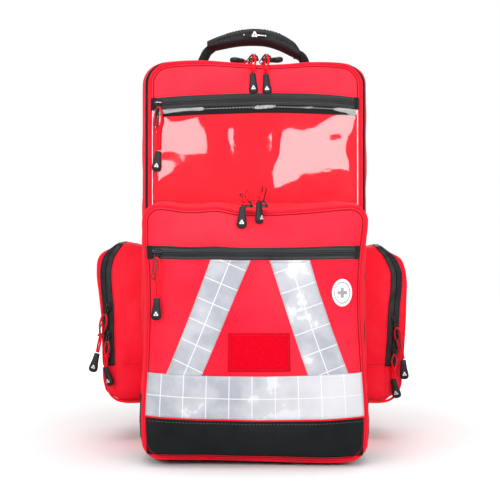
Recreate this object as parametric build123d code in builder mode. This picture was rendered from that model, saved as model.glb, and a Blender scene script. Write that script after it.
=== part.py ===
"""Large red responder backpack with two main compartments, a deep front pocket and two
side pockets.

Axes: +X to the bag's left-hand side as seen from the front, -Y is the front, +Z is up.
The origin is on the flat underside of the rear compartment, which stands on the ground.
Every section is a tub that closes against the one behind it, and each section's hinge
runs along its lowest rear edge, so the U-shaped zips let it fall open.
"""

import os

from build123d import *

# ---- driving dimensions, millimetres -------------------------------------------------
body_width = 330.0
body_height = 560.0
body_corner = 28.0
body_back = 95.0
body_front = -95.0
rear_zip_y = -12.0
front_zip_y = -88.5
seam_gap = 1.0
skin = 5.0
tape_clearance = 0.4
tape_thick = 1.2
tape_width = 12.0
boot_thick = 1.0
boot_top = 57.0

lid_thick = 6.0

pocket_width = 312.0
pocket_height = 352.0
pocket_rim_width = 288.0
pocket_rim_low = 8.0
pocket_rim_high = 343.0
pocket_corner = 24.0
pocket_rim_y = -205.0
pocket_taper_y = -165.0
pocket_rim_depth = 12.0
pocket_skin = 4.0
pocket_boot_top = 93.0
panel_thick = 5.5

window_width = 298.0
window_low = 354.0
window_high = 489.0
window_thick = 0.8
zip_band_height = 17.0
zip_band_thick = 2.0
window_zip_z = 498.5
panel_zip_z = 284.5
panel_zip_width = 276.0

trim_thick = 0.8
strip_width = 50.0
band_low = 67.0
band_high = 125.0
loop_width = 82.0
loop_height = 48.0
patch_diameter = 37.0

side_depth = 71.0
side_lid_depth = {-1: 16.5, 1: 24.0}
side_front = -24.0
side_back = 90.0
side_low = 58.0
side_high = 300.0
side_split = 115.0
side_corner = 22.0
side_skin = 3.5

slider_length = 16.0
slider_width = 10.0
slider_height = 6.0
slider_gap = 0.3
bridge_wide = 2.4
bridge_high = 5.6
hinge_height = 8.3
wire_diameter = 1.6
wire_half_width = 4.0
cord_diameter = 3.0
cord_fold = 2.7
grip_width = 13.6
grip_length = 29.0
grip_thick = 9.0

handle_y = 45.0
handle_pivot_z = 574.0
handle_leg_x = 91.0
handle_leg_width = 16.0
handle_grip_deep = 30.0
handle_grip_thick = 27.0

strap_width = 65.0
strap_thick = 12.0
strap_x = 76.0
webbing_thick = 2.0
webbing_width = 25.0

os.makedirs("parts", exist_ok=True)


def save(built, label):
    built.part.label = label
    export_step(built.part, f"parts/{label}.step")


def at_y(y):
    return Plane.XZ.offset(-y)


def rounded_block(width, low, high, radius, front, back, mode=Mode.ADD):
    """A block with rounded corners as seen from the front, between two depths."""
    with BuildSketch(at_y(back)) as outline:
        with Locations((0, (low + high) / 2)):
            RectangleRounded(width, high - low, radius)
    extrude(outline.sketch, amount=back - front, mode=mode)


def block(x0, x1, y0, y1, z0, z1, mode=Mode.ADD):
    with Locations(((x0 + x1) / 2, (y0 + y1) / 2, (z0 + z1) / 2)):
        Box(x1 - x0, y1 - y0, z1 - z0, mode=mode)


def make_tub(half_less, front, back, low, wall_back):
    """A section of the main body: closed behind, open towards the front."""
    width = body_width - 2 * half_less
    top = body_height - half_less
    with BuildPart() as tub:
        rounded_block(width, low, top, body_corner, front, back)
        rounded_block(width - 2 * skin, low + skin, top - skin, body_corner - skin,
                      front - 1, back - wall_back, Mode.SUBTRACT)
    return tub


def make_band(width, top, radius, low_end, front, back, thick):
    """A U-shaped zip tape lying round the outside of a seam, open at the bottom."""
    with BuildPart() as band:
        rounded_block(width + 2 * thick, 0, top + thick, radius + thick, front, back)
        rounded_block(width, -200, top, radius, front - 1, back + 1, Mode.SUBTRACT)
        block(-width, width, front - 1, back + 1, -10, low_end, Mode.SUBTRACT)
    return band


# ---- rear compartment: the section that carries the harness ----------------------------
rear_front = rear_zip_y + seam_gap / 2
back_shell = make_tub(0, rear_front, body_back, boot_thick, skin)
save(back_shell, "back_shell")

with BuildPart() as base_boot:
    rounded_block(body_width + 2 * boot_thick, 0, body_height + boot_thick,
                  body_corner + boot_thick, rear_front, body_back)
    rounded_block(body_width, boot_thick, body_height, body_corner, rear_front - 1,
                  body_back + 1, Mode.SUBTRACT)
    block(-body_width, body_width, rear_front - 1, body_back + 1, boot_top,
          body_height + 50, Mode.SUBTRACT)
save(base_boot, "base_boot")

rear_zip_tape = make_band(body_width, body_height, body_corner, side_high + 5,
                          rear_zip_y - tape_width / 2, rear_zip_y + tape_width / 2,
                          tape_thick)
save(rear_zip_tape, "rear_zip_tape")

# ---- middle section: the shallow compartment that opens forwards -----------------------
mid_shell = make_tub(tape_clearance, front_zip_y + seam_gap / 2, rear_zip_y - seam_gap / 2,
                     0, 4.0)
save(mid_shell, "mid_shell")

mid_width = body_width - 2 * tape_clearance
front_zip_tape = make_band(mid_width, body_height - tape_clearance, body_corner, 45,
                           front_zip_y - tape_width / 2, front_zip_y + tape_width / 2,
                           tape_thick)
save(front_zip_tape, "front_zip_tape")

# ---- main lid with the clear window pocket ---------------------------------------------
lid_less = 2 * tape_clearance
with BuildPart() as lid_panel:
    rounded_block(body_width - 2 * lid_less, 0, body_height - lid_less, body_corner,
                  body_front, front_zip_y - seam_gap / 2)
save(lid_panel, "lid_panel")

with BuildPart() as window_film:
    rounded_block(window_width, window_low, window_high, 3, body_front - window_thick,
                  body_front)
save(window_film, "window_film")

with BuildPart() as window_zip:
    rounded_block(window_width, window_zip_z - zip_band_height / 2,
                  window_zip_z + zip_band_height / 2, 2, body_front - zip_band_thick,
                  body_front)
save(window_zip, "window_zip")

# ---- front pocket ----------------------------------------------------------------------
rim_back = pocket_rim_y + pocket_rim_depth
with BuildPart() as pocket_shell:
    for grow, mode in ((0, Mode.ADD), (pocket_skin, Mode.SUBTRACT)):
        tub_back = body_front - 1 - grow
        rounded_block(pocket_width - 2 * grow, boot_thick + grow, pocket_height - grow,
                      pocket_corner - grow, pocket_taper_y, tub_back, mode)
        with BuildSketch(at_y(pocket_taper_y)) as wide_end:
            with Locations((0, (boot_thick + pocket_height) / 2)):
                RectangleRounded(pocket_width - 2 * grow,
                                 pocket_height - boot_thick - 2 * grow,
                                 pocket_corner - grow)
        with BuildSketch(at_y(rim_back)) as rim_end:
            with Locations((0, (pocket_rim_low + pocket_rim_high) / 2)):
                RectangleRounded(pocket_rim_width - 2 * grow,
                                 pocket_rim_high - pocket_rim_low - 2 * grow,
                                 pocket_corner - grow)
        loft([wide_end.sketch, rim_end.sketch], mode=mode)
        rounded_block(pocket_rim_width - 2 * grow, pocket_rim_low + grow,
                      pocket_rim_high - grow, pocket_corner - grow,
                      pocket_rim_y - grow, rim_back, mode)
save(pocket_shell, "pocket_shell")

with BuildPart() as pocket_boot:
    rounded_block(pocket_width + 2 * boot_thick, 0, pocket_height + boot_thick,
                  pocket_corner + boot_thick, pocket_taper_y, body_front - 1)
    rounded_block(pocket_width, boot_thick, pocket_height, pocket_corner,
                  pocket_taper_y - 1, body_front, Mode.SUBTRACT)
    block(-pocket_width, pocket_width, pocket_taper_y - 1, body_front, pocket_boot_top,
          pocket_height + 50, Mode.SUBTRACT)
save(pocket_boot, "pocket_boot")

pocket_lid_front = pocket_rim_y - seam_gap - panel_thick
with BuildPart() as pocket_zip_tape:
    rounded_block(pocket_rim_width + 2 * tape_thick, pocket_rim_low,
                  pocket_rim_high + tape_thick, pocket_corner + tape_thick,
                  pocket_rim_y - seam_gap - panel_thick / 2, rim_back - 3)
    rounded_block(pocket_rim_width, -100, pocket_rim_high, pocket_corner,
                  pocket_rim_y - 20, rim_back, Mode.SUBTRACT)
    block(-pocket_width, pocket_width, pocket_rim_y - 20, rim_back, -10, 60,
          Mode.SUBTRACT)
save(pocket_zip_tape, "pocket_zip_tape")

lid_width = pocket_rim_width - 2 * tape_clearance
lid_top = pocket_rim_high - tape_clearance
with BuildPart() as pocket_panel:
    rounded_block(lid_width, pocket_rim_low, lid_top, pocket_corner - tape_clearance, pocket_lid_front,
                  pocket_rim_y - seam_gap)
save(pocket_panel, "pocket_panel")

with BuildPart() as panel_zip:
    rounded_block(panel_zip_width, panel_zip_z - zip_band_height / 2,
                  panel_zip_z + zip_band_height / 2, 2, pocket_lid_front - zip_band_thick,
                  pocket_lid_front)
save(panel_zip, "panel_zip")

with BuildPart() as reflective_band:
    rounded_block(lid_width - 2, band_low, band_high, 1, pocket_lid_front - trim_thick,
                  pocket_lid_front)
save(reflective_band, "reflective_band")

with BuildPart() as lower_panel:
    with BuildSketch(at_y(pocket_lid_front)) as lower_outline:
        with Locations((0, (pocket_rim_low + lid_top) / 2)):
            RectangleRounded(lid_width - 2, lid_top - pocket_rim_low - 2, pocket_corner - 1)
        with Locations((0, band_low - 0.3 + 200)):
            Rectangle(lid_width + 10, 400, mode=Mode.SUBTRACT)
    extrude(lower_outline.sketch, amount=trim_thick)
save(lower_panel, "lower_panel")


def make_strip(top_x, foot_x):
    """One slanting reflective strip, cut level at both ends."""
    low, high = band_high + 0.4, panel_zip_z - zip_band_height / 2 - 2.5
    half = strip_width / 2 + 1.5
    with BuildPart() as strip:
        with BuildSketch(at_y(pocket_lid_front)) as outline:
            with BuildLine():
                Polyline((foot_x - half, low), (foot_x + half, low), (top_x + half, high),
                         (top_x - half, high), close=True)
            make_face()
        extrude(outline.sketch, amount=trim_thick)
    return strip


save(make_strip(-31.0, -91.0), "strip_left")
save(make_strip(47.0, 98.0), "strip_right")

with BuildPart() as loop_panel:
    with BuildSketch(at_y(pocket_lid_front)) as loop_outline:
        with Locations((6.5, 156)):
            RectangleRounded(loop_width, loop_height, 2)
    extrude(loop_outline.sketch, amount=1.5)
save(loop_panel, "loop_panel")

with BuildPart() as round_patch:
    with BuildSketch(at_y(pocket_lid_front)) as patch_outline:
        with Locations((115, 232)):
            Circle(patch_diameter / 2)
    extrude(patch_outline.sketch, amount=1.2)
save(round_patch, "round_patch")


# ---- side pockets ----------------------------------------------------------------------
def side_block(sign, x0, x1, inset, z0, mode=Mode.ADD):
    """A block with the side pocket's outline, between two distances from the middle."""
    deep = side_back - side_front - 2 * inset
    tall = side_high - side_low - 2 * inset
    with BuildSketch(Plane.YZ.offset(sign * x0)) as outline:
        with Locations(((side_front + side_back) / 2, (side_low + side_high) / 2)):
            RectangleRounded(deep, tall, side_corner - inset)
        if z0 > side_low:
            with Locations(((side_front + side_back) / 2, z0 - 200)):
                Rectangle(deep + 20, 400, mode=Mode.SUBTRACT)
    extrude(outline.sketch, amount=sign * (x1 - x0), mode=mode)


def make_side_pocket(sign):
    inner = body_width / 2
    outer = inner + side_depth
    split_x = outer - side_lid_depth[sign]
    with BuildPart() as pocket:
        side_block(sign, inner, outer, 0, side_low)
        x0, x1 = sorted((sign * (split_x + 0.5), sign * (outer + 5)))
        block(x0, x1, side_front - 5, side_back + 5, side_split, side_high + 5,
              Mode.SUBTRACT)
        side_block(sign, inner + side_skin, outer - side_skin, side_skin, side_low,
                   Mode.SUBTRACT)
        side_block(sign, split_x - 5, outer - side_skin, side_skin, side_split - 10,
                   Mode.SUBTRACT)
    return pocket


def make_side_panel(sign):
    outer = body_width / 2 + side_depth
    split_x = outer - side_lid_depth[sign]
    with BuildPart() as panel:
        side_block(sign, split_x + 1, outer, tape_clearance, side_split + 0.5)
        side_block(sign, split_x, outer - side_skin, side_skin, side_split + side_skin,
                   Mode.SUBTRACT)
    return panel


def make_side_tape(sign):
    split_x = body_width / 2 + side_depth - side_lid_depth[sign]
    with BuildPart() as tape:
        side_block(sign, split_x - 8, split_x + 8, -tape_thick, side_split + 3)
        side_block(sign, split_x - 9, split_x + 9, 0, side_low, Mode.SUBTRACT)
    return tape


for side_name, side_sign in (("left", -1), ("right", 1)):
    save(make_side_pocket(side_sign), f"side_pocket_{side_name}")
    save(make_side_panel(side_sign), f"side_panel_{side_name}")
    save(make_side_tape(side_sign), f"side_tape_{side_name}")


# ---- carrying handle on the top ---------------------------------------------------------
with BuildPart() as handle_anchors:
    for side in (-1, 1):
        x0, x1 = sorted((side * (handle_leg_x + 2), side * (handle_leg_x + 5)))
        block(x0, x1, handle_y - 10, handle_y + 10, body_height, handle_pivot_z + 5)
        x0, x1 = sorted((side * (handle_leg_x + 5), side * (handle_leg_x + 30)))
        block(x0, x1, handle_y - 15, handle_y + 15, body_height, body_height + 3)
save(handle_anchors, "handle_anchors")

with BuildPart() as handle_webbing:
    for side in (-1, 1):
        with BuildSketch(at_y(handle_y + handle_leg_width / 2)) as leg_outline:
            with BuildLine():
                Polyline((side * (handle_leg_x + 1.5), handle_pivot_z - 7),
                         (side * (handle_leg_x - 1.5), handle_pivot_z - 7),
                         (side * 73, 601), (side * 73, 608),
                         (side * (handle_leg_x + 1.5), handle_pivot_z), close=True)
            make_face()
        extrude(leg_outline.sketch, amount=handle_leg_width)
save(handle_webbing, "handle_webbing")

with BuildPart() as handle_grip:
    with BuildSketch(at_y(handle_y + handle_grip_deep / 2)) as grip_outline:
        with BuildLine():
            Polyline((-73, 595), (-73, 617), (-45, 631), (0, 637), (45, 631), (73, 617),
                     (73, 595), (45, 605), (0, 609), (-45, 605), close=True)
        make_face()
    extrude(grip_outline.sketch, amount=handle_grip_deep)
save(handle_grip, "handle_grip")


# ---- harness on the back ----------------------------------------------------------------
with BuildPart() as frame_sheet:
    rounded_block(270, 30, 530, 20, body_back - skin - 3, body_back - skin)
save(frame_sheet, "frame_sheet")

with BuildPart() as back_pad:
    rounded_block(200, 50, 455, 30, body_back, body_back + 15)
save(back_pad, "back_pad")


def make_shoulder_strap(side):
    with BuildPart() as strap:
        with BuildSketch(Plane.YZ.offset(side * strap_x - strap_width / 2)) as profile:
            with BuildLine():
                Spline((103, 545), (106, 512), (126, 470), (142, 410), (146, 345),
                       (142, 280), (128, 215), tangents=((0, -1), (-0.3, -1)))
            trace(line_width=strap_thick)
        extrude(profile.sketch, amount=strap_width)
    return strap


save(make_shoulder_strap(-1), "shoulder_strap_left")
save(make_shoulder_strap(1), "shoulder_strap_right")

with BuildPart() as strap_webbing:
    for side in (-1, 1):
        with BuildLine() as fall:
            Line((side * 84, 122.5, 208), (side * 146, 96.5, 72))
        with BuildSketch(Plane(fall.line @ 0, x_dir=(1, 0, side * 0.456),
                               z_dir=fall.line % 0)) as ribbon:
            Rectangle(webbing_width, webbing_thick)
        sweep(ribbon.sketch, path=fall.line)
save(strap_webbing, "strap_webbing")

with BuildPart() as sternum_strap:
    gap = strap_x - strap_width / 2 - 0.5
    block(-gap, gap, 146, 148, 385, 405)
    block(-17, 17, 148, 156, 381, 409)
save(sternum_strap, "sternum_strap")

with BuildPart() as hip_belt:
    rounded_block(184, 66, 156, 30, body_back + 15, body_back + 29)
save(hip_belt, "hip_belt")

with BuildPart() as hip_buckle:
    block(-92, 92, body_back + 29, body_back + 31, 92, 130)
    block(-32, 32, body_back + 31, body_back + 43, 88, 134)
save(hip_buckle, "hip_buckle")


# ---- zip sliders and their pulls ----------------------------------------------------------
def make_slider(place, along_x):
    """A slider body with its bridge; the bridge always spans across the X axis."""
    long_x, long_y = (slider_length, slider_width) if along_x else (slider_width,
                                                                     slider_length)
    with BuildPart() as slider:
        with Locations(place):
            with Locations((0, 0, (slider_gap + slider_height) / 2)):
                Box(long_x, long_y, slider_height - slider_gap)
            with Locations((0, 0, slider_height + bridge_high / 2)):
                Box(bridge_wide, slider_width, bridge_high)
            with Locations((0, 0, slider_height + (bridge_high - 1.6) / 2)):
                Box(bridge_wide + 1, slider_width - 3, bridge_high - 1.6,
                    mode=Mode.SUBTRACT)
    return slider


with BuildPart() as grip:
    with BuildSketch(Plane.XZ.offset(-grip_thick / 2)) as grip_face:
        with Locations((0, -4.2)):
            Circle(4.2)
        with Locations((0, -(grip_length - grip_width / 2))):
            Circle(grip_width / 2)
        make_hull()
    extrude(grip_face.sketch, amount=grip_thick)
    chamfer(grip.edges().group_by(Axis.Y)[0] + grip.edges().group_by(Axis.Y)[-1], 1.8)


def make_pull(hinge, bends, wire_end, grip_top, grip_end):
    """Wire loop, doubled cord and moulded grip, as three solids that move together."""
    spine = [Vector(*hinge)] + [Vector(*b) for b in bends] + [Vector(*wire_end)]
    half = Vector(wire_half_width, 0, 0)
    top, tip = Vector(*grip_top), Vector(*grip_end)
    gap_from, gap_to = spine[-2] - half, spine[-1] - half
    wire_points = [gap_from + (gap_to - gap_from) * 0.47]
    wire_points += [p - half for p in reversed(spine[:-1])]
    wire_points += [p + half for p in spine]
    wire_points += [gap_to, gap_from + (gap_to - gap_from) * 0.53]
    along = (spine[-1] - top).normalized()
    out = Vector(1, 0, 0).cross(along).normalized()
    fold = spine[-1] + along * cord_fold
    knot = top + along * 1.5
    with BuildPart() as pull:
        with BuildLine() as wire_line:
            FilletPolyline(*wire_points, radius=1.4)
        with BuildSketch(Plane(wire_line.line @ 0, z_dir=wire_line.line % 0)) as wire_end_face:
            Circle(wire_diameter / 2)
        sweep(wire_end_face.sketch, path=wire_line.line)
        with BuildLine() as cord_line:
            FilletPolyline(knot + out * cord_fold, fold + out * cord_fold,
                           fold - out * cord_fold, knot - out * cord_fold,
                           radius=cord_fold * 0.99)
        with BuildSketch(Plane(cord_line.line @ 0, z_dir=cord_line.line % 0)) as cord_end:
            Circle(cord_diameter / 2)
        sweep(cord_end.sketch, path=cord_line.line)
        with Locations(Plane(top, x_dir=Vector(1, 0, 0), z_dir=top - tip)):
            add(grip.part)
    length = cord_line.wires()[0].length
    area = cord_end.sketch.area
    solids = sorted(pull.part.solids(), key=lambda s: abs(s.volume - area * length))
    print(f"cord {length:.1f} mm, section x length {area * length:.1f}, "
          f"tube {solids[0].volume:.1f}, solids {len(pull.part.solids())}")
    return pull


def out_of_front(x, y, z):
    """A slider's seat on a face that looks forwards."""
    return Plane((x, y, z), x_dir=(1, 0, 0), z_dir=(0, -1, 0))


def out_of_top(x, y, z):
    """A slider's seat on a face that looks up."""
    return Plane((x, y, z), x_dir=(1, 0, 0), z_dir=(0, 0, 1))


top_seat = body_height + tape_thick
front_top_seat = body_height - tape_clearance + tape_thick
window_seat = body_front - zip_band_thick
panel_seat = pocket_lid_front - zip_band_thick
pocket_seat = pocket_rim_high + tape_thick
pocket_slider_y = pocket_rim_y + 1
side_seat = side_front - tape_thick
left_x = side_lid_depth[-1] - side_depth - body_width / 2
right_x = body_width / 2 + side_depth - side_lid_depth[1]

top_hinge = top_seat + hinge_height
front_top_hinge = front_top_seat + hinge_height
window_hinge = window_seat - hinge_height
panel_hinge = panel_seat - hinge_height
pocket_hinge = pocket_seat + hinge_height
side_hinge = side_seat - hinge_height

slider_seats = {
    "rear_left": (out_of_top(-10, rear_zip_y, top_seat), True),
    "rear_right": (out_of_top(14, rear_zip_y, top_seat), True),
    "front_left": (out_of_top(0, front_zip_y, front_top_seat), True),
    "front_right": (out_of_top(19, front_zip_y, front_top_seat), True),
    "window": (out_of_front(-136, window_seat, window_zip_z), True),
    "panel": (out_of_front(-128, panel_seat, panel_zip_z), True),
    "pocket_left": (out_of_top(-9, pocket_slider_y, pocket_seat), True),
    "pocket_right": (out_of_top(11, pocket_slider_y, pocket_seat), True),
    "side_left_upper": (out_of_front(left_x, side_seat, 201), False),
    "side_left_lower": (out_of_front(left_x, side_seat, 160), False),
    "side_right_upper": (out_of_front(right_x, side_seat, 181), False),
    "side_right_lower": (out_of_front(right_x, side_seat, 140), False),
}
for seat_name, (seat, runs_along_x) in slider_seats.items():
    save(make_slider(seat, runs_along_x), f"slider_{seat_name}")

hang_y = body_front - 9
pull_routes = {
    "rear_left": ((-10, rear_zip_y, top_hinge), [], (-9, -27, 569),
                  (-17, -44, 570), (-31, -68, 566.5)),
    "rear_right": ((14, rear_zip_y, top_hinge), [], (15, -27, 569),
                   (23, -44, 570.5), (40, -67.5, 567)),
    "front_left": ((0, front_zip_y, front_top_hinge), [(0, hang_y + 2, 568)],
                   (0, hang_y, 561), (-1.5, hang_y, 540), (0, hang_y, 511)),
    "front_right": ((19, front_zip_y, front_top_hinge), [(19, hang_y + 2, 568)],
                    (18.5, hang_y, 561), (17.5, hang_y, 539), (19.5, hang_y, 510)),
    "window": ((-136, window_hinge, window_zip_z), [], (-136, window_hinge, 487.5),
               (-136, window_hinge, 429), (-139.5, window_hinge, 400)),
    "panel": ((-128, panel_hinge, panel_zip_z), [], (-128, panel_hinge, 273.5),
              (-127, panel_hinge, 225), (-128.5, panel_hinge, 196)),
    "pocket_left": ((-9, pocket_slider_y, pocket_hinge), [], (-9, -215, 364),
                    (-15, -221, 345), (-16.5, -221, 316)),
    "pocket_right": ((11, pocket_slider_y, pocket_hinge), [], (11, -215, 369),
                     (6.5, -221, 351), (7, -221, 322)),
    "side_left_upper": ((left_x, side_hinge, 201), [(left_x, side_hinge, 194.5)],
                        (left_x - 4.5, side_hinge, 187), (left_x - 15, side_hinge, 133),
                        (left_x - 22.5, side_hinge, 105)),
    "side_left_lower": ((left_x, side_hinge, 160), [], (left_x - 0.5, side_hinge, 146),
                        (left_x - 2.5, side_hinge, 112), (left_x + 6, side_hinge, 84.5)),
    "side_right_upper": ((right_x, side_hinge, 181), [(right_x, side_hinge, 174.5)],
                         (right_x + 3.5, side_hinge, 167), (right_x + 12.5, side_hinge, 123),
                         (right_x + 14.5, side_hinge, 94)),
    "side_right_lower": ((right_x, side_hinge, 140), [], (right_x - 0.5, side_hinge, 126),
                         (right_x - 2.5, side_hinge, 94), (right_x + 4, side_hinge, 66)),
}
for route_name, route in pull_routes.items():
    save(make_pull(*route), f"pull_{route_name}")
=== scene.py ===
import math

import bmesh
import bpy
import numpy as np
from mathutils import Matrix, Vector
from mathutils.bvhtree import BVHTree


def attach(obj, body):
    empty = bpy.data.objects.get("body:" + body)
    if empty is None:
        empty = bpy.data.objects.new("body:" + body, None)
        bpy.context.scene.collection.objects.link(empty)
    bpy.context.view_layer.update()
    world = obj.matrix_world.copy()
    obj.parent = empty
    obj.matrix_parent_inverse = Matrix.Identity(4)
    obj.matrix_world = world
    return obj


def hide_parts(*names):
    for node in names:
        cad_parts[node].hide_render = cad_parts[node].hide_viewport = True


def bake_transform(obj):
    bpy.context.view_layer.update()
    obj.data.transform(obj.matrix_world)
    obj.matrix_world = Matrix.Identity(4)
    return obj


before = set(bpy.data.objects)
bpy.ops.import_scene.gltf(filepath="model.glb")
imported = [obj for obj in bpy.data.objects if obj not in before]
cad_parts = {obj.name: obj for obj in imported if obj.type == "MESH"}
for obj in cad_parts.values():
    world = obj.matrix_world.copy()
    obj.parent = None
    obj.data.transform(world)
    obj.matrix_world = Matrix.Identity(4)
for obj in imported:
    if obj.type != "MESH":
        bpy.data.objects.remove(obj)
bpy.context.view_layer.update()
scene = bpy.context.scene
MM = 0.001
TAU = 2 * math.pi
CAMERA_LENS, SENSOR_WIDTH = 70.9, 36
CAMERA_AT = (-0.0053, -1.511, 0.288)

# ---------------------------------------------------------------- camera and light
cam_data = bpy.data.cameras.new("camera")
cam_data.lens = CAMERA_LENS
cam_data.sensor_width = SENSOR_WIDTH
camera = bpy.data.objects.new("camera", cam_data)
scene.collection.objects.link(camera)
camera.location = CAMERA_AT
camera.rotation_euler = (math.pi / 2, 0, 0)
cam_data.clip_start, cam_data.clip_end = 0.05, 20
scene.camera = camera
scene.view_settings.view_transform = "Standard"


def area_light(name, at, aim, size_x, size_y, power):
    """Rectangular light at a point, aimed at another, with its power in watts."""
    data = bpy.data.lights.new(name, "AREA")
    data.shape = "RECTANGLE"
    data.size, data.size_y = size_x, size_y
    data.energy = power
    light = bpy.data.objects.new(name, data)
    scene.collection.objects.link(light)
    light.location = at
    aim_way = Vector(aim) - Vector(at)
    light.rotation_euler = aim_way.to_track_quat("-Z", "Y").to_euler()
    return light


left_box = area_light("softbox_left", (-0.88, -1.72, 0.90), (-0.06, -0.11, 0.42), 1.25, 0.56, 15.5)
left_box.rotation_euler.rotate_axis("Z", math.radians(12))
area_light("softbox_right", (0.67, -1.72, 0.74), (0.05, -0.11, 0.42), 1.20, 0.50, 14.5)
area_light("overhead", (0, -0.3, 2.0), (0, -0.1, 0.4), 1.8, 1.4, 20)
area_light("rear_fill", (0.4, 1.9, 1.2), (0, 0, 0.35), 1.6, 1.4, 12)

world = bpy.data.worlds.new("world")
scene.world = world
world.use_nodes = True
backdrop = world.node_tree.nodes["Background"]
backdrop.inputs[0].default_value = (1, 1, 1, 1)
# white to the camera, half as bright as a light, and dim in glossy reflections
WORLD_LIGHT, WORLD_SEEN, WORLD_GLOSSY_DROP = 0.50, 1.0, 0.38
seen = world.node_tree.nodes.new("ShaderNodeLightPath")
level = world.node_tree.nodes.new("ShaderNodeMapRange")
level.inputs["To Min"].default_value = WORLD_LIGHT
level.inputs["To Max"].default_value = WORLD_SEEN
world.node_tree.links.new(seen.outputs["Is Camera Ray"], level.inputs["Value"])
dim = world.node_tree.nodes.new("ShaderNodeMath")
dim.operation = "MULTIPLY_ADD"
dim.inputs[1].default_value = -WORLD_GLOSSY_DROP
world.node_tree.links.new(seen.outputs["Is Glossy Ray"], dim.inputs[0])
world.node_tree.links.new(level.outputs[0], dim.inputs[2])
world.node_tree.links.new(dim.outputs[0], backdrop.inputs[1])


# ---------------------------------------------------------------- material helpers
class Tree:
    """Short-hand for building one material's nodes."""

    def __init__(self, name):
        self.mat = bpy.data.materials.new(name)
        self.mat.use_nodes = True
        self.tree = self.mat.node_tree
        self.bsdf = self.tree.nodes["Principled BSDF"]
        self.out = self.tree.nodes["Material Output"]

    def node(self, kind, **inputs):
        made = self.tree.nodes.new("ShaderNode" + kind)
        for key, value in inputs.items():
            if hasattr(made, key) and key not in made.inputs:
                setattr(made, key, value)
                continue
            socket = made.inputs[int(key[1:])] if key[0] == "_" else made.inputs[key]
            self.put(socket, value)
        return made

    def put(self, socket, value):
        if isinstance(value, bpy.types.NodeSocket):
            self.tree.links.new(value, socket)
        elif isinstance(value, bpy.types.Node):
            self.tree.links.new(value.outputs[0], socket)
        else:
            socket.default_value = value

    def math(self, operation, a, b=0.0, c=0.0):
        return self.node("Math", operation=operation, _0=a, _1=b, _2=c).outputs[0]

    def set(self, **inputs):
        for key, value in inputs.items():
            self.put(self.bsdf.inputs[key.replace("_", " ")], value)

    def uv(self):
        return self.node("UVMap").outputs[0]

    def spot(self):
        return self.node("TexCoord").outputs["Object"]

    def noise(self, vector, scale, detail=2.0, rough=0.5):
        return self.node("TexNoise", Vector=vector, Scale=scale, Detail=detail,
                         Roughness=rough).outputs[0]

    def ramp(self, value, *stops):
        made = self.node("ValToRGB", Fac=value)
        ramp = made.color_ramp
        while len(ramp.elements) < len(stops):
            ramp.elements.new(0.5)
        for element, (place, colour) in zip(ramp.elements, stops):
            element.position = place
            element.color = (*colour, 1) if len(colour) == 3 else colour
        return made.outputs[0]

    def span(self, value, low, high, to_low=0.0, to_high=1.0):
        """A value brought from one range to another, and held at its ends."""
        made = self.node("MapRange", Value=value)
        for socket, number in zip(made.inputs[1:5], (low, high, to_low, to_high)):
            socket.default_value = number
        return made.outputs[0]

    def mix(self, fac, a, b):
        made = self.tree.nodes.new("ShaderNodeMix")
        made.data_type = "RGBA"
        self.put(made.inputs[0], fac)
        for socket, value in ((made.inputs[6], a), (made.inputs[7], b)):
            if isinstance(value, tuple):
                value = (*value, 1) if len(value) == 3 else value
            self.put(socket, value)
        return made.outputs[2]

    def bump(self, height, strength, distance, normal=None):
        made = self.node("Bump", Strength=strength, Distance=distance, Height=height)
        if normal is not None:
            self.put(made.inputs["Normal"], normal)
        return made.outputs[0]

    def weave(self, pitch):
        """Height of a plain weave, from UVs that are in metres."""
        parts = self.node("SeparateXYZ", Vector=self.uv())
        turns = TAU / pitch
        across = self.math("SINE", self.math("MULTIPLY", parts.outputs[0], turns))
        along = self.math("SINE", self.math("MULTIPLY", parts.outputs[1], turns))
        return self.math("MULTIPLY", across, along)


def cloth(name, colour, deep, rough=0.8, sheen=0.25, pitch=0.0011, crease=0.35,
          sheen_tint=(1, 0.6, 0.6), painted_sheen=None):
    """Woven fabric: threads, slight dye variation and soft creases. Where a sheen colour is given,
    the cloth pales towards it with height and in broad clouds, a painted sheen lighter towards the
    top."""
    t = Tree(name)
    spot = t.spot()
    weave = t.weave(pitch)
    speck = t.noise(t.uv(), 1400, 2, 0.6)
    broad = t.noise(spot, 9, 3, 0.55)
    shade = t.math("ADD", t.math("MULTIPLY", speck, 0.55), t.math("MULTIPLY", broad, 0.45))
    base = t.ramp(shade, (0.28, deep), (0.62, colour))
    # painted sheen: the base colour grows paler with height in the object and in broad clouds, as if
    # lit from above
    if painted_sheen:
        parts = t.node("SeparateXYZ", Vector=spot)
        high = t.span(parts.outputs[2], 0.20, 0.58)
        cloud = t.span(t.noise(spot, 6, 4, 0.6), 0.42, 0.68)
        painted_sheen_share = t.math("ADD", t.math("MULTIPLY", high, 0.22), t.math("MULTIPLY", cloud, 0.26))
        base = t.mix(painted_sheen_share, base, painted_sheen)
    t.set(Base_Color=base, Roughness=rough)
    folds = t.noise(spot, 26, 4, 0.55)
    first = t.bump(folds, crease, 0.0025)
    t.set(Normal=t.bump(weave, 0.35, 0.00012, first))
    t.set(Sheen_Weight=sheen, Sheen_Roughness=0.45, Sheen_Tint=(*sheen_tint, 1))
    t.set(Specular_IOR_Level=0.16)
    return t.mat


# the last colour is a painted sheen for the upper, brighter-lit cloth
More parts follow.
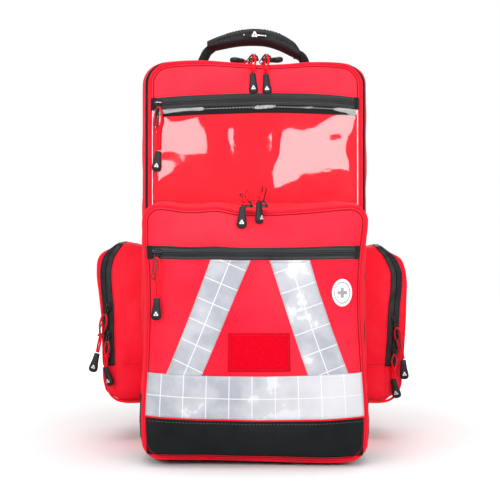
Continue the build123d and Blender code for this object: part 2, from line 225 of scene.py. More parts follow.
red_cloth = cloth("red_cloth", (0.86, 0.003, 0.026), (0.70, 0.001, 0.016), 0.62, 0.03,
                  painted_sheen=(0.90, 0.060, 0.085))
red_trim = cloth("red_trim", (0.84, 0.003, 0.022), (0.66, 0.001, 0.014), 0.5, 0.03,
                 0.0008, 0.15)
# painted shade: dark red cloth for the tubes that darken the grooves beside the piping
seam_shade = cloth("seam_shade", (0.30, 0.001, 0.010), (0.20, 0.001, 0.006), 0.8, 0.0)
lining = cloth("lining_cloth", (0.045, 0.046, 0.05), (0.025, 0.026, 0.03), 0.85, 0.1,
               0.0008, 0.5, (1, 1, 1))
tape_cloth = cloth("tape_cloth", (0.014, 0.014, 0.016), (0.006, 0.006, 0.007), 0.7, 0.12,
                   0.0007, 0.2, (1, 1, 1))
webbing_cloth = cloth("webbing_cloth", (0.013, 0.013, 0.014), (0.005, 0.005, 0.006), 0.72,
                      0.1, 0.0022, 0.1, (1, 1, 1))


def coated(name, colour, rough, grain_scale=900.0, crease=0.3, coat=0.0, gloss=0.28):
    """Smooth coated sheet with a fine leathery grain and soft dents."""
    t = Tree(name)
    spot = t.spot()
    grain = t.node("TexVoronoi", Vector=spot, Scale=grain_scale).outputs[0]
    dents = t.noise(spot, 22, 3, 0.5)
    smudge = t.noise(spot, 14, 5, 0.65)
    dark = tuple(c * 0.6 for c in colour)
    t.set(Base_Color=t.ramp(smudge, (0.3, dark), (0.7, colour)))
    t.set(Roughness=t.span(smudge, 0.3, 0.7, rough - 0.06, rough + 0.08))
    t.set(Normal=t.bump(grain, 0.12, 0.0002, t.bump(dents, crease, 0.003)))
    t.set(Specular_IOR_Level=gloss, Coat_Weight=coat, Coat_Roughness=0.25)
    return t.mat


tarpaulin = coated("tarpaulin", (0.010, 0.013, 0.014), 0.34, 1100, 0.7, 0.05, 0.42)
zip_coating = coated("zip_coating", (0.022, 0.024, 0.027), 0.42, 1500, 0.12)
grip_rubber = coated("grip_rubber", (0.022, 0.025, 0.027), 0.48, 2600, 0.05)
handle_rubber = coated("handle_rubber", (0.014, 0.014, 0.016), 0.44, 1800, 0.05)
plastic_black = coated("plastic_black", (0.010, 0.010, 0.012), 0.38, 2200, 0.03)


def metal(name, colour, rough, metallic=1.0):
    """Metal with fine scuffs; metallic below 1 for painted metal."""
    t = Tree(name)
    scuff = t.noise(t.spot(), 600, 4, 0.6)
    dark = tuple(c * 0.7 for c in colour)
    t.set(Base_Color=t.ramp(scuff, (0.35, dark), (0.6, colour)), Metallic=metallic)
    t.set(Roughness=rough, Normal=t.bump(scuff, 0.08, 0.0002))
    return t.mat


black_metal = metal("black_metal", (0.026, 0.026, 0.029), 0.26, 0.3)
silver_metal = metal("silver_metal", (0.78, 0.79, 0.8), 0.28)
emblem_silver = metal("emblem_silver", (0.85, 0.85, 0.86), 0.42, 0.35)


def braided(name, colour, deep):
    """Cord with a twisted braid."""
    t = Tree(name)
    parts = t.node("SeparateXYZ", Vector=t.uv())
    twist = t.math("ADD", t.math("MULTIPLY", parts.outputs[0], 60.0),
                   t.math("MULTIPLY", parts.outputs[1], TAU * 2))
    rope = t.math("SINE", twist)
    t.set(Base_Color=t.ramp(t.noise(t.spot(), 1500, 2), (0.3, deep), (0.65, colour)))
    t.set(Roughness=0.6, Normal=t.bump(rope, 0.25, 0.0003), Specular_IOR_Level=0.15)
    return t.mat


cord_red = braided("cord_red", (0.80, 0.008, 0.02), (0.55, 0.003, 0.01))


def thread(name, colour):
    """Sewing thread or embroidery."""
    t = Tree(name)
    t.set(Base_Color=t.ramp(t.noise(t.spot(), 2500, 2), (0.3, tuple(c * 0.7 for c in colour)),
                            (0.7, colour)), Roughness=0.6)
    return t.mat


thread_red = thread("thread_red", (0.26, 0.002, 0.012))
thread_pale = thread("thread_pale", (0.62, 0.62, 0.64))
thread_black = thread("thread_black", (0.10, 0.10, 0.11))


def reflective(name, columns, pitch, shift_x, shift_y, fade=0.0):
    """Prismatic tape: silver squares with cloudy painted reflections, and raised white lines
    between them. Its UVs run across and along the tape, in metres from the middle of its low edge,
    and fade is how much it pales towards its far end, as a painted glare."""
    t = Tree(name)
    parts = t.node("SeparateXYZ", Vector=t.uv())
    across, along = parts.outputs[0], parts.outputs[1]

    def lines(value, step, offset):
        turn = t.math("DIVIDE", t.math("SUBTRACT", value, offset), step)
        near = t.math("PINGPONG", turn, 0.5)
        return t.math("LESS_THAN", t.math("MULTIPLY", near, step), 0.0006)

    grid = t.math("MAXIMUM", lines(across, columns, shift_x), lines(along, pitch, shift_y))
    # painted reflection: bright cloudy patches in the base colour stand in for glints on the prisms;
    # the clouds also dent the surface
    cloud = t.noise(t.spot(), 34, 3, 0.5)
    facet = t.noise(t.spot(), 13, 2, 0.5)
    painted_glint = t.math("ADD", t.math("MULTIPLY", cloud, 0.6), t.math("MULTIPLY", facet, 0.4))
    body = t.ramp(painted_glint, (0.40, (0.33, 0.35, 0.39)), (0.50, (0.41, 0.42, 0.46)),
                  (0.570, (0.45, 0.46, 0.50)), (0.590, (0.58, 0.59, 0.62)))
    # painted glare: the tape pales towards its far end as if washed out by reflected light
    if fade:
        body = t.mix(t.span(across, -0.02, 0.10, 0.0, fade), body, (0.60, 0.60, 0.63))
    colour = t.mix(grid, body, (0.66, 0.66, 0.69))
    cells = t.node("TexVoronoi", Vector=t.spot(), Scale=700.0).outputs[0]
    t.set(Base_Color=colour, Roughness=0.3, Metallic=0.0)
    t.set(Normal=t.bump(grid, 0.4, 0.0005, t.bump(cells, 0.12, 0.0003,
                                                 t.bump(cloud, 0.25, 0.002))))
    t.set(Coat_Weight=0.14, Coat_Roughness=0.16, Specular_IOR_Level=0.25)
    return t.mat


tape_squares = reflective("tape_squares", 0.0600, 0.0286, 0.0, 0.0175)
# the band's fade is a painted glare
band_squares = reflective("band_squares", 0.0298, 0.0600, 0.0270, 0.0285, 0.8)


def clear_vinyl(name):
    """Clear film: see-through face on, and a gloss that grows at a slant, over soft folds."""
    t = Tree(name)
    folds = t.bump(t.noise(t.spot(), 17, 3, 0.5), 0.10, 0.005)
    waves = t.bump(t.noise(t.spot(), 60, 2, 0.5), 0.10, 0.001, folds)
    through = t.node("BsdfTransparent", Color=(1, 1, 1, 1))
    gloss = t.node("BsdfGlossy", Roughness=0.06, Normal=waves)
    share = t.node("Fresnel", IOR=1.80, Normal=waves)
    t.put(t.out.inputs["Surface"], t.node("MixShader", _0=share, _1=through, _2=gloss))
    t.tree.nodes.remove(t.bsdf)
    return t.mat


def welded_edge(name):
    """Milky strip where the film is welded down."""
    t = Tree(name)
    milk = t.noise(t.spot(), 60, 3)
    t.set(Base_Color=t.ramp(milk, (0.35, (0.55, 0.56, 0.6)), (0.6, (0.85, 0.85, 0.88))))
    t.set(Roughness=0.25, Coat_Weight=0.5)
    return t.mat


def hook_loop(name):
    """Short red pile that hooks fasten to."""
    t = Tree(name)
    speck = t.noise(t.spot(), 900, 3, 0.7)
    t.set(Base_Color=t.ramp(speck, (0.35, (0.46, 0.0, 0.008)), (0.65, (0.70, 0.001, 0.014))))
    t.set(Roughness=0.95, Normal=t.bump(speck, 0.8, 0.0008))
    t.set(Sheen_Weight=0.02, Specular_IOR_Level=0.05)
    return t.mat


def open_mesh(name):
    """Black spacer mesh with small open cells."""
    t = Tree(name)
    cells = t.node("TexVoronoi", Vector=t.spot(), Scale=300.0).outputs[0]
    t.set(Base_Color=t.ramp(cells, (0.12, (0.004, 0.004, 0.005)), (0.5, (0.030, 0.030, 0.033))))
    t.set(Roughness=0.85, Normal=t.bump(cells, 0.7, 0.001), Sheen_Weight=0.2)
    return t.mat


clear_film = clear_vinyl("clear_film")
film_hem = welded_edge("film_hem")
loop_pile = hook_loop("loop_pile")
spacer_mesh = open_mesh("spacer_mesh")

patch_white = thread("patch_white", (0.90, 0.90, 0.91))
patch_grey = thread("patch_grey", (0.30, 0.31, 0.33))


# ---------------------------------------------------------------- mesh helpers
def wobble(points, seed, wave, amount, terms=7):
    """Smooth pseudo-random field over points in mm, with about the given wavelength."""
    r = np.random.RandomState(seed)
    total = np.zeros(points.shape[:-1])
    for _ in range(terms):
        way = r.normal(size=3)
        way *= TAU / (wave * r.uniform(0.7, 1.6)) / np.linalg.norm(way)
        total += np.sin(points @ way + r.uniform(0, TAU))
    return total * amount / math.sqrt(terms)


def face_out(obj):
    """Turns a closed mesh's faces outwards."""
    bm = bmesh.new()
    bm.from_mesh(obj.data)
    bmesh.ops.recalc_face_normals(bm, faces=bm.faces)
    bm.to_mesh(obj.data)
    bm.free()
    return obj


def link(obj, body, mats, angle=40):
    """Puts a new mesh in the scene, smooth up to an angle, riding on a body if one is named."""
    scene.collection.objects.link(obj)
    for m in mats:
        obj.data.materials.append(m)
    obj.data.polygons.foreach_set("use_smooth", [True] * len(obj.data.polygons))
    obj.data.set_sharp_from_angle(angle=math.radians(angle))
    if body:
        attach(obj, body)
    return obj


def turns(count):
    """Even angles round a circle."""
    return np.linspace(0, TAU, count, endpoint=False)


def boxy(value, power):
    """Sine or cosine raised to a power with its sign kept, which squares a circle."""
    return np.sign(value) * np.abs(value) ** power


def dome(x, z, half_x, mid_z, half_z, power_x, power_z):
    """Fullness of a stuffed face: 1 in the middle, falling to 0 at its outline."""
    u, v = np.clip(np.abs(x) / half_x, 0, 1), np.clip(np.abs(z - mid_z) / half_z, 0, 1)
    return np.sqrt(np.maximum((1 - u ** power_x) * (1 - v ** power_z), 0))


def run_of(mask):
    """Places in a closed ring of the one stretch where mask is true, in order."""
    first = int(np.argmax(mask & ~np.roll(mask, 1)))
    order = np.roll(np.arange(len(mask)), -first)
    return order[mask[order]]


def sleeve(count, sides, closed=False):
    """Faces round a row of rings with sides points each, capped unless it is closed."""
    faces = []
    for i in range(count if closed else count - 1):
        here, there = i * sides, (i + 1) % count * sides
        for k in range(sides):
            m = (k + 1) % sides
            faces.append((here + k, here + m, there + m, there + k))
    if not closed:
        faces += [range(sides), range((count - 1) * sides, count * sides)]
    return faces


def steps_along(line):
    """Distance of each point from the first, along the line."""
    gaps = np.linalg.norm(np.diff(line, axis=0), axis=1)
    return np.concatenate(([0], np.cumsum(gaps)))


def mesh_of(name, verts, faces, uvs=None):
    """verts in mm; uvs one per vertex, in metres."""
    data = bpy.data.meshes.new(name)
    data.from_pydata((np.asarray(verts) * MM).tolist(), [], [list(map(int, f)) for f in faces])
    if uvs is not None:
        layer = data.uv_layers.new(name="UVMap")
        loops = np.zeros(len(data.loops), np.int32)
        data.loops.foreach_get("vertex_index", loops)
        layer.data.foreach_set("uv", np.asarray(uvs, np.float32)[loops].ravel())
    data.validate()
    data.update()
    return bpy.data.objects.new(name, data)


def surface(name, grid, body, mats, thick=0.0, wrap=False, keep=None, flip=False, uv=None,
            angle=40):
    """A sheet from a grid of points in mm. wrap closes the first direction; keep chooses
    faces by their centres; thick adds cloth thickness behind the face."""
    nu, nv = grid.shape[:2]
    index = np.arange(nu * nv).reshape(nu, nv)
    if wrap:
        index = np.vstack((index, index[:1]))
    a, b = index[:-1, :-1].ravel(), index[1:, :-1].ravel()
    c, d = index[1:, 1:].ravel(), index[:-1, 1:].ravel()
    faces = np.stack((a, d, c, b) if flip else (a, b, c, d), axis=1)
    verts = grid.reshape(-1, 3)
    if keep is not None:
        faces = faces[keep(verts[faces].mean(axis=1))]
    if uv is None:
        along_u = steps_along(grid[:, nv // 2])
        along_v = steps_along(grid[nu // 2])
        uv = np.stack(np.meshgrid(along_u, along_v, indexing="ij"), axis=-1) * MM
    used = np.unique(faces)
    renumber = np.full(nu * nv, -1)
    renumber[used] = np.arange(len(used))
    obj = mesh_of(name, verts[used], renumber[faces], uv.reshape(-1, 2)[used])
    link(obj, body, mats, angle=angle)
    if thick:
        mod = obj.modifiers.new("cloth", "SOLIDIFY")
        mod.thickness = thick * MM
        mod.offset = -1
        mod.material_offset = len(mats) - 1
        mod.use_quality_normals = True
    return obj


def tube(name, line, radius, body, mats, closed=False, sides=10, flat=1.0, up=(0, 0, 1)):
    """A round or flattened tube along points in mm."""
    line = np.asarray(line, float)
    ways = np.roll(line, -1, 0) - np.roll(line, 1, 0)
    if not closed:
        ways[0], ways[-1] = line[1] - line[0], line[-1] - line[-2]
    ways /= np.linalg.norm(ways, axis=1)[:, None]
    ups = np.zeros_like(line)
    now = np.asarray(up, float)
    for i, way in enumerate(ways):
        now = now - way * (now @ way)
        if np.linalg.norm(now) < 1e-6:
            now = np.cross(way, (0.3, 0.9, 0.2))
        now /= np.linalg.norm(now)
        ups[i] = now
    side = np.cross(ways, ups)
    turn = turns(sides)
    radius = np.broadcast_to(radius, len(line))[:, None, None]
    grid = (line[:, None] + radius * (np.cos(turn)[None, :, None] * side[:, None]
                                      + flat * np.sin(turn)[None, :, None] * ups[:, None]))
    around = turn / TAU * 6.28 * 2
    uvs = np.stack((np.repeat(steps_along(line), sides), np.tile(around, len(line))), axis=1) * MM
    obj = face_out(mesh_of(name, grid.reshape(-1, 3), sleeve(len(line), sides, closed), uvs))
    return link(obj, body, mats, angle=60)


def stitches(name, line, face, body, mat, length=3.0, gap=1.6, wide=0.75, high=0.45):
    """A row of raised stitches along a line in mm; face is the outward direction."""
    line = np.asarray(line, float)
    far = steps_along(line)
    starts = np.arange(1.0, far[-1] - length, length + gap)

    def at(s):
        return np.stack([np.interp(s, far, line[:, k]) for k in range(3)], axis=1)

    p, q = at(starts), at(starts + length)
    way = (q - p) / np.linalg.norm(q - p, axis=1)[:, None]
    face = np.asarray(face, float)
    if face.ndim == 2:
        face = np.stack([np.interp(starts, far, face[:, k]) for k in range(3)], axis=1)
    face = np.broadcast_to(face, p.shape)
    side = np.cross(way, face)
    side /= np.linalg.norm(side, axis=1)[:, None]
    out = np.cross(side, way)
    rows = []
    for along, wide_k, high_k in ((0.0, 0.3, -0.2), (0.22, 1, 1), (0.78, 1, 1), (1.0, 0.3, -0.2)):
        mid = p + (q - p) * along
        rows += [mid - side * wide * 0.5 * wide_k, mid + out * high * high_k,
                 mid + side * wide * 0.5 * wide_k]
    verts = np.stack(rows, axis=1).reshape(-1, 3)
    faces = []
    for i in range(len(p)):
        o = i * 12
        for r in range(3):
            for k in range(2):
                faces.append((o + r * 3 + k, o + r * 3 + k + 1, o + r * 3 + k + 4, o + r * 3 + k + 3))
    obj = mesh_of(name, verts, faces)
    return link(obj, body, [mat], angle=80)


def join(name, objs):
    """Joins pieces that share a body into one piece."""
    bpy.ops.object.select_all(action="DESELECT")
    for o in objs:
        o.select_set(True)
    bpy.context.view_layer.objects.active = objs[0]
    bpy.ops.object.join()
    objs[0].name = name
    return objs[0]


def arc_ring(half, low, high, radius, nx=26, nz=40, nc=9, low_radius=None):
    """Closed rounded rectangle in (x, z), from the bottom centre round to the right."""
    rl = radius if low_radius is None else low_radius
    q = np.linspace(0, math.pi / 2, nc + 2)[1:-1]
    pts = [np.stack((np.linspace(0, half - rl, nx // 2), np.full(nx // 2, low)), 1)]
    pts.append(np.stack((half - rl + rl * np.sin(q), low + rl - rl * np.cos(q)), 1))
    side = np.linspace(low + rl, high - radius, nz)
    pts.append(np.stack((np.full(nz, half), side), 1))
    pts.append(np.stack((half - radius + radius * np.cos(q), high - radius + radius * np.sin(q)), 1))
    pts.append(np.stack((np.linspace(half - radius, radius - half, nx), np.full(nx, high)), 1))
    pts.append(np.stack((radius - half - radius * np.sin(q), high - radius + radius * np.cos(q)), 1))
    pts.append(np.stack((np.full(nz, -half), side[::-1]), 1))
    pts.append(np.stack((rl - half - rl * np.cos(q), low + rl - rl * np.sin(q)), 1))
    pts.append(np.stack((np.linspace(rl - half, 0, nx // 2 + 1)[:-1], np.full(nx // 2, low)), 1))
    return np.concatenate(pts)


def arc_panel(half, low, high, radius, nx=60, nz=80, low_radius=None):
    """Filled rounded rectangle as a grid of x and z."""
    rl = radius if low_radius is None else low_radius
    t = np.linspace(-1, 1, nx)
    x = half * np.sign(t) * (1 - (1 - np.abs(t)) ** 1.35)
    past_top = np.clip(np.abs(x) - (half - radius), 0, radius)
    past_low = np.clip(np.abs(x) - (half - rl), 0, rl)
    top = high - radius + np.sqrt(np.maximum(radius ** 2 - past_top ** 2, 0))
    foot = low + rl - np.sqrt(np.maximum(rl ** 2 - past_low ** 2, 0))
    v = np.linspace(0, 1, nz)
    z = foot[:, None] + (top - foot)[:, None] * v[None, :]
    return np.repeat(x[:, None], nz, 1), z


def curve(x, *knots):
    """Smooth curve through (x, y) knots, level beyond its ends."""
    xs, ys = np.array(knots, float).T
    x = np.clip(np.asarray(x, float), xs[0], xs[-1])
    slopes = np.gradient(ys, xs)
    i = np.clip(np.searchsorted(xs, x) - 1, 0, len(xs) - 2)
    h = xs[i + 1] - xs[i]
    t = (x - xs[i]) / h
    return ((2 * t ** 3 - 3 * t ** 2 + 1) * ys[i] + (t ** 3 - 2 * t ** 2 + t) * h * slopes[i]
            + (-2 * t ** 3 + 3 * t ** 2) * ys[i + 1] + (t ** 3 - t ** 2) * h * slopes[i + 1])


def stack(x, y, z):
    """Points from their coordinates, which may be arrays or numbers."""
    return np.stack(np.broadcast_arrays(np.asarray(x, float), y, z), axis=-1)


def ring_out(ring):
    """Outward direction in (x, z) at each point of a closed ring."""
    way = np.roll(ring, -1, 0) - np.roll(ring, 1, 0)
    way /= np.linalg.norm(way, axis=1)[:, None]
    return np.stack((way[:, 1], -way[:, 0]), axis=1)


# ---------------------------------------------------------------- pulls, with their cords
CORD = 3.0          # diameter
FOLD = 2.7          # from a wire's end to where its cord folds over it
SLIDER_UP = 8.3     # from a zip's surface to the hinge of its pull


def loft(rings, name, body, mat):
    """Closed solid through rings of points in mm, capped at both ends."""
    grid = np.array(rings)
    made = mesh_of(name, grid.reshape(-1, 3), sleeve(*grid.shape[:2]))
    return link(face_out(made), body, [mat], angle=50)


def frame_ways(way, face):
    """Unit directions along, sideways and outwards, square to each other."""
    way = np.array(way, float) / np.linalg.norm(way)
    face = np.array(face, float)
    face = face - way * (face @ way)
    face /= np.linalg.norm(face)
    return way, np.cross(way, face), face


def make_grip(name, body, top, end, face):
    """Moulded grip: narrow neck, wide round foot, flat-oval section and an inlaid emblem."""
    top, end = np.array(top, float), np.array(end, float)
    way, side, face = frame_ways(end - top, face)
    length = np.linalg.norm(end - top)
    rings = []
    for t, wide, deep in ((0, 3.0, 2.2), (0.004, 3.7, 2.9), (0.03, 4.2, 3.3), (0.22, 4.45, 3.5),
                          (0.4, 5.0, 3.8), (0.58, 5.9, 4.1), (0.72, 6.6, 4.3), (0.83, 6.75, 4.3),
                          (0.91, 6.1, 4.0), (0.965, 4.6, 3.1), (0.99, 2.6, 1.9), (1.0, 0.9, 0.7)):
        turn = turns(22)
        c, s = boxy(np.cos(turn), 0.86), boxy(np.sin(turn), 0.86)
        mid = top + way * length * t
        rings.append(mid + np.outer(c * wide, side) + np.outer(s * deep, face))
    grip = loft(rings, name, body, grip_rubber)
    # raised rounded triangle on the outer face
    mid = top + way * length * 0.72 + face * 4.0
    turn = turns(30) + math.pi / 2
    reach = 2.7 + 0.75 * np.cos(3 * (turn - math.pi / 2))
    tri = [mid + np.outer(np.cos(turn) * reach * k, side) - np.outer(np.sin(turn) * reach * k, way)
           + face * h for k, h in ((1.02, -0.3), (1.0, 0.35), (0.9, 0.6), (0.5, 0.62))]
    inlay = loft(tri, name + "_emblem", body, emblem_silver)
    turn = turns(18)
    dot = [mid + np.outer(np.cos(turn) * 0.8 * k, side) + np.outer(np.sin(turn) * 0.8 * k, way)
           + face * h for k, h in ((1, 0.5), (0.95, 0.78), (0.5, 0.8))]
    eye = loft(dot, name + "_dot", body, grip_rubber)
    return join(name, [grip, inlay, eye])


def make_slider(name, hinge, travel, up, bright=False):
    """Zip slider: two lens-shaped plates on a post, side rims and an arched bridge."""
    travel, up = np.array(travel, float), np.array(up, float)
    across = np.cross(travel, up)
    seat = np.array(hinge, float) - up * SLIDER_UP
    out = []

    def put(pts):
        pts = np.asarray(pts, float)
        return seat + pts[..., :1] * travel + pts[..., 1:2] * across + pts[..., 2:] * up

    turn = turns(36)
    lens_x = 7.6 * boxy(np.cos(turn), 0.8)
    lens_y = (4.7 - 0.9 * np.cos(turn)) * boxy(np.sin(turn), 0.7)
    plate = [put(stack(lens_x * k, lens_y * k, h))
             for k, h in ((0.88, 0.35), (1, 0.8), (1.0, 2.4), (0.9, 3.3), (0.6, 3.6))]
    out.append(loft(plate, name, name, black_metal))
    for s in (-1, 1):
        rim = put([(x, s * (4.4 - 0.02 * x * x), 3.2) for x in np.linspace(-6, 6, 9)])
        out.append(tube(name + "_rim", rim, 0.7, name, [black_metal], sides=8))
    bridge = put([(-6.2, 0, 2.9), (-6.0, 0, 5.0), (-4.4, 0, 7.2), (-2.0, 0, 8.3),
                  (1.6, 0, 8.3), (4.2, 0, 7.0), (5.4, 0, 5.0), (5.6, 0, 2.9)])
    out.append(tube(name + "_bridge", refine(bridge, 30), 1.25, name,
                    [silver_metal if bright else black_metal], sides=10,
                    flat=0.7, up=tuple(across)))
    piece = join(name + "_detail", out)
    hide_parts(name)


def refine(points, count):
    """Evenly spaced points on a smooth curve through a few points."""
    p = np.asarray(points, float)
    far = steps_along(p)
    s = np.linspace(0, far[-1], count)
    return np.stack([curve(s, *zip(far, p[:, k])) for k in range(3)], axis=1)


def make_pull(key, hinge, travel, up, bends, wire_end, grip_top, grip_end, face,
              wire_tip, bright=False):
    """Slider, black wire loop, doubled cord with its knot, and grip of one zip. Places are in
    mm; the cord's length is that of both legs and the fold."""
    body = "pull_" + key
    hinge, wire_end = np.array(hinge, float), np.array(wire_end, float)
    grip_top, grip_end = np.array(grip_top, float), np.array(grip_end, float)
    make_slider("slider_" + key, hinge, travel, up, bright)
    sideways = np.array((1.0, 0, 0))

    # hairpin of wire: narrow at the slider, wider at its loose end
    tip = np.array(wire_tip, float)
    path = np.array([hinge, *bends, tip])
    middle = refine(path, 18)
    left, right = [], []
    for i, p in enumerate(middle):
        t = i / (len(middle) - 1)
        half = 1.5 + 1.3 * t if t < 0.9 else 2.8 * math.sqrt(max(0.0, 1 - ((t - 0.9) / 0.1) ** 2))
        left.append(p + sideways * max(half, 0.15))
        right.append(p - sideways * max(half, 0.15))
    wire = tube("wire_" + key, np.array(left + right[::-1]), 0.7, body, [black_metal],
                closed=True, sides=8)

    # the cord's frame: along points back to the wire, out away from the bag
    run = grip_top - wire_end
    length = np.linalg.norm(run)
    along = -run / length
    out = np.cross((1, 0, 0), along)
    out /= np.linalg.norm(out)
    side = np.cross(along, out)
    fold = wire_end + along * FOLD
    wide = 2.6 + 2.4 * min(1.0, max(0.0, (length - 18) / 30))
    tie = 0.46 if length > 30 else 0.55

    def at(t, s, o):
        return wire_end + run * t + side * s + out * o

    end = 1 - 1.5 / length
    shape = ((end, 1.3, 0.7), (0.5 * (tie + end) + 0.04, 2.0, 0.9), (tie + 0.03, 1.0, 1.1),
             (tie * 0.55, wide, 1.4), (0.06, wide * 0.95, 1.6))
    leg_a = [at(*row) for row in shape]
    leg_b = [at(t, -s_, -o) for t, s_, o in reversed(shape)]
    top = [fold + along * 1.6 + side * wide * 0.45 + out * 0.8,
           fold + along * 1.6 - side * wide * 0.45 - out * 0.8]
    cord_points = leg_a + top + leg_b
    data = bpy.data.curves.new("cord_" + key, "CURVE")
    data.dimensions = "3D"
    spline = data.splines.new("NURBS")
    spline.points.add(len(cord_points) - 1)
    for point, p in zip(spline.points, cord_points):
        point.co = (*(p * MM), 1)
    spline.order_u = 3
    spline.use_endpoint_u = True
    data.bevel_depth = CORD * MM / 2
    data.bevel_resolution = 3
    data.resolution_u = 8
    cord = bpy.data.objects.new("cord_" + key, data)
    scene.collection.objects.link(cord)
    data.materials.append(cord_red)
    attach(cord, body)

    # overhand knot where the two legs meet, with its two short ends
    mid = at(tie + 0.04, 0, 0)
    turn = np.linspace(0, TAU * 1.5, 24)
    swirl = np.outer(np.cos(turn) * 2.3, side) + np.outer(np.sin(turn) * 2.1, out)
    swirl = mid + swirl + np.outer((turn / TAU - 0.75) * 2.4, along)
    tail = swirl[-1] + np.array([-side * 1.0 - along * 1.2, -side * 1.6 - along * 3.6])
    lead = swirl[0] + np.array([side * 1.5 + along * 2.6, side * 1.0 + along * 0.9])
    line = refine(np.vstack((lead, swirl[::3], tail)), 44)
    twist = tube("knot_" + key, line, CORD / 2 * 0.92, body, [cord_red], sides=8)

    grip = make_grip("grip_" + key, body, grip_top, grip_end, face)
    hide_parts("pull_" + key)


X, Z, FRONT, BACK = (1, 0, 0), (0, 0, 1), (0, -1, 0), (0, 1, 0)
LEFT_X, RIGHT_X = -219.5, 212.0
make_pull("rear_left", (-10, -12, 569.5), X, Z, [], (-9, -27, 569), (-17, -44, 570),
          (-31, -68, 566.5), (-0.25, -0.55, 1), (4, -36, 574))
make_pull("rear_right", (14, -12, 569.5), X, Z, [], (15, -27, 569), (23, -44, 570.5),
          (40, -67.5, 567), (0.2, -0.75, 1), (21, -38, 577))
make_pull("front_left", (0, -88.5, 569.1), X, Z, [(0, -102, 568)], (0, -104, 561),
          (-1.5, -104, 540), (0, -104, 511), FRONT, (-9, -107, 556))
make_pull("front_right", (19, -88.5, 569.1), X, Z, [(18, -102, 568)], (18.5, -104, 561),
          (17.5, -104, 539), (19.5, -104, 510), FRONT, (9.5, -107.5, 554))
make_pull("window", (-136, -105.3, 498.5), X, FRONT, [], (-136, -105.3, 487.5),
          (-136, -105.3, 429), (-139.5, -105.3, 400), FRONT, (-138.5, -109.5, 464),
          bright=True)
make_pull("panel", (-128, -221.8, 284.5), X, FRONT, [], (-128, -221.8, 273.5),
          (-127, -221.8, 225), (-128.5, -221.8, 196), FRONT, (-131.5, -226, 250))
make_pull("pocket_left", (-9, -204, 352.5), X, Z, [], (-9, -215, 364), (-15, -221, 345),
          (-16.5, -221, 316), FRONT, (-17, -210, 362))
make_pull("pocket_right", (11, -204, 352.5), X, Z, [], (11, -215, 369), (6.5, -221, 351),
          (7, -221, 322), (0.8, -0.6, 0), (14, -214, 370))
make_pull("side_left_upper", (LEFT_X, -33.5, 201), Z, FRONT, [], (LEFT_X - 4.5, -33.5, 187),
          (LEFT_X - 15, -33.5, 133), (LEFT_X - 22.5, -33.5, 105), FRONT,
          (-229, -38.0, 162))
make_pull("side_left_lower", (LEFT_X, -33.5, 160), Z, FRONT, [], (LEFT_X - 0.5, -33.5, 146),
          (LEFT_X - 2.5, -33.5, 112), (LEFT_X + 6, -33.5, 84.5), (-0.6, -0.8, 0),
          (-217.5, -38.0, 138))
make_pull("side_right_upper", (RIGHT_X, -33.5, 181), Z, FRONT, [], (RIGHT_X + 3.5, -33.5, 167),
          (RIGHT_X + 12.5, -33.5, 123), (RIGHT_X + 14.5, -33.5, 94), FRONT,
          (218, -38.0, 141))
make_pull("side_right_lower", (RIGHT_X, -33.5, 140), Z, FRONT, [], (RIGHT_X - 0.5, -33.5, 126),
          (RIGHT_X - 2.5, -33.5, 94), (RIGHT_X + 4, -33.5, 66), (-0.3, -0.95, 0),
          (210.5, -38.0, 117))


# ---------------------------------------------------------------- main body sections
def body_wave(x, z, y):
    """Unevenness of the bag's top edge, strongest at the front."""
    wave = curve(x, (-150, 0), (-120, 4), (-80, 6), (-30, 2), (0, -1.5), (40, -0.5), (80, 3),
                 (120, 2), (150, -3))
    return wave * np.clip((z - 470) / 90, 0, 1) ** 2 * np.clip(0.35 - 0.65 * (y + 20) / 75, 0.3, 1)


def body_ring(y, inset=0.0):
    """Outline of the bag in (x, z) at a depth."""
    half = float(curve(y, (-95, 151.5), (-88, 156.5), (-82, 159.0), (-75, 160.5), (-50, 163.5),
                       (-20, 165), (50, 165), (85, 162), (95, 158)))
    high = float(curve(y, (-95, 553), (-88, 555), (-75, 558), (-50, 560), (0, 561), (90, 557)))
    ring = arc_ring(half - inset, 1.0 + inset, high - inset, 27 - inset, 50, 76, 10)
    lifted = ring.copy()
    lifted[:, 0] += float(curve(y, (-95, 2.6), (-82, 1.8), (-40, 0)))
    lifted[:, 1] += body_wave(ring[:, 0], ring[:, 1], y)
    return lifted


def body_band(y_front, y_back, step, seed, puff=0.0, crease=0.0, inset=0.0):
    """Grid of gusset points (ring, depth) between two depths."""
    ys = np.linspace(y_front, y_back, max(2, int(round((y_back - y_front) / step)) + 1))
    rings = np.stack([stack(r[:, 0], y, r[:, 1]) for y in ys
                      for r in [body_ring(y, inset)]], axis=1)
    out = np.stack([ring_out(rings[:, i][:, (0, 2)]) for i in range(len(ys))], axis=1)
    t = (ys - y_front) / (y_back - y_front)
    swell = puff * (4 * t * (1 - t)) ** 0.7
    folds = wobble(rings, seed, 85, crease) + wobble(rings, seed + 1, 30, crease * 0.35)
    edge = np.clip(4 * t * (1 - t) * 2, 0, 1)
    push = swell + folds * edge
    floor = np.clip((rings[:, :, 2] - 1) / 25, 0, 1)
    push = push * np.where(out[:, :, 1] < -0.3, 0, np.maximum(floor, 0.15))
    rings[:, :, 0] += out[:, :, 0] * push
    rings[:, :, 2] += out[:, :, 1] * push
    return rings


def above(limit):
    """Chooses the faces over a height."""
    return lambda c: c[:, 2] > limit


def below(limit):
    """Chooses the faces up to a height."""
    return lambda c: c[:, 2] <= limit


LID_Y, LID_BULGE, LID_MID, LID_SHIFT = -93.5, 16, 277, 2.6


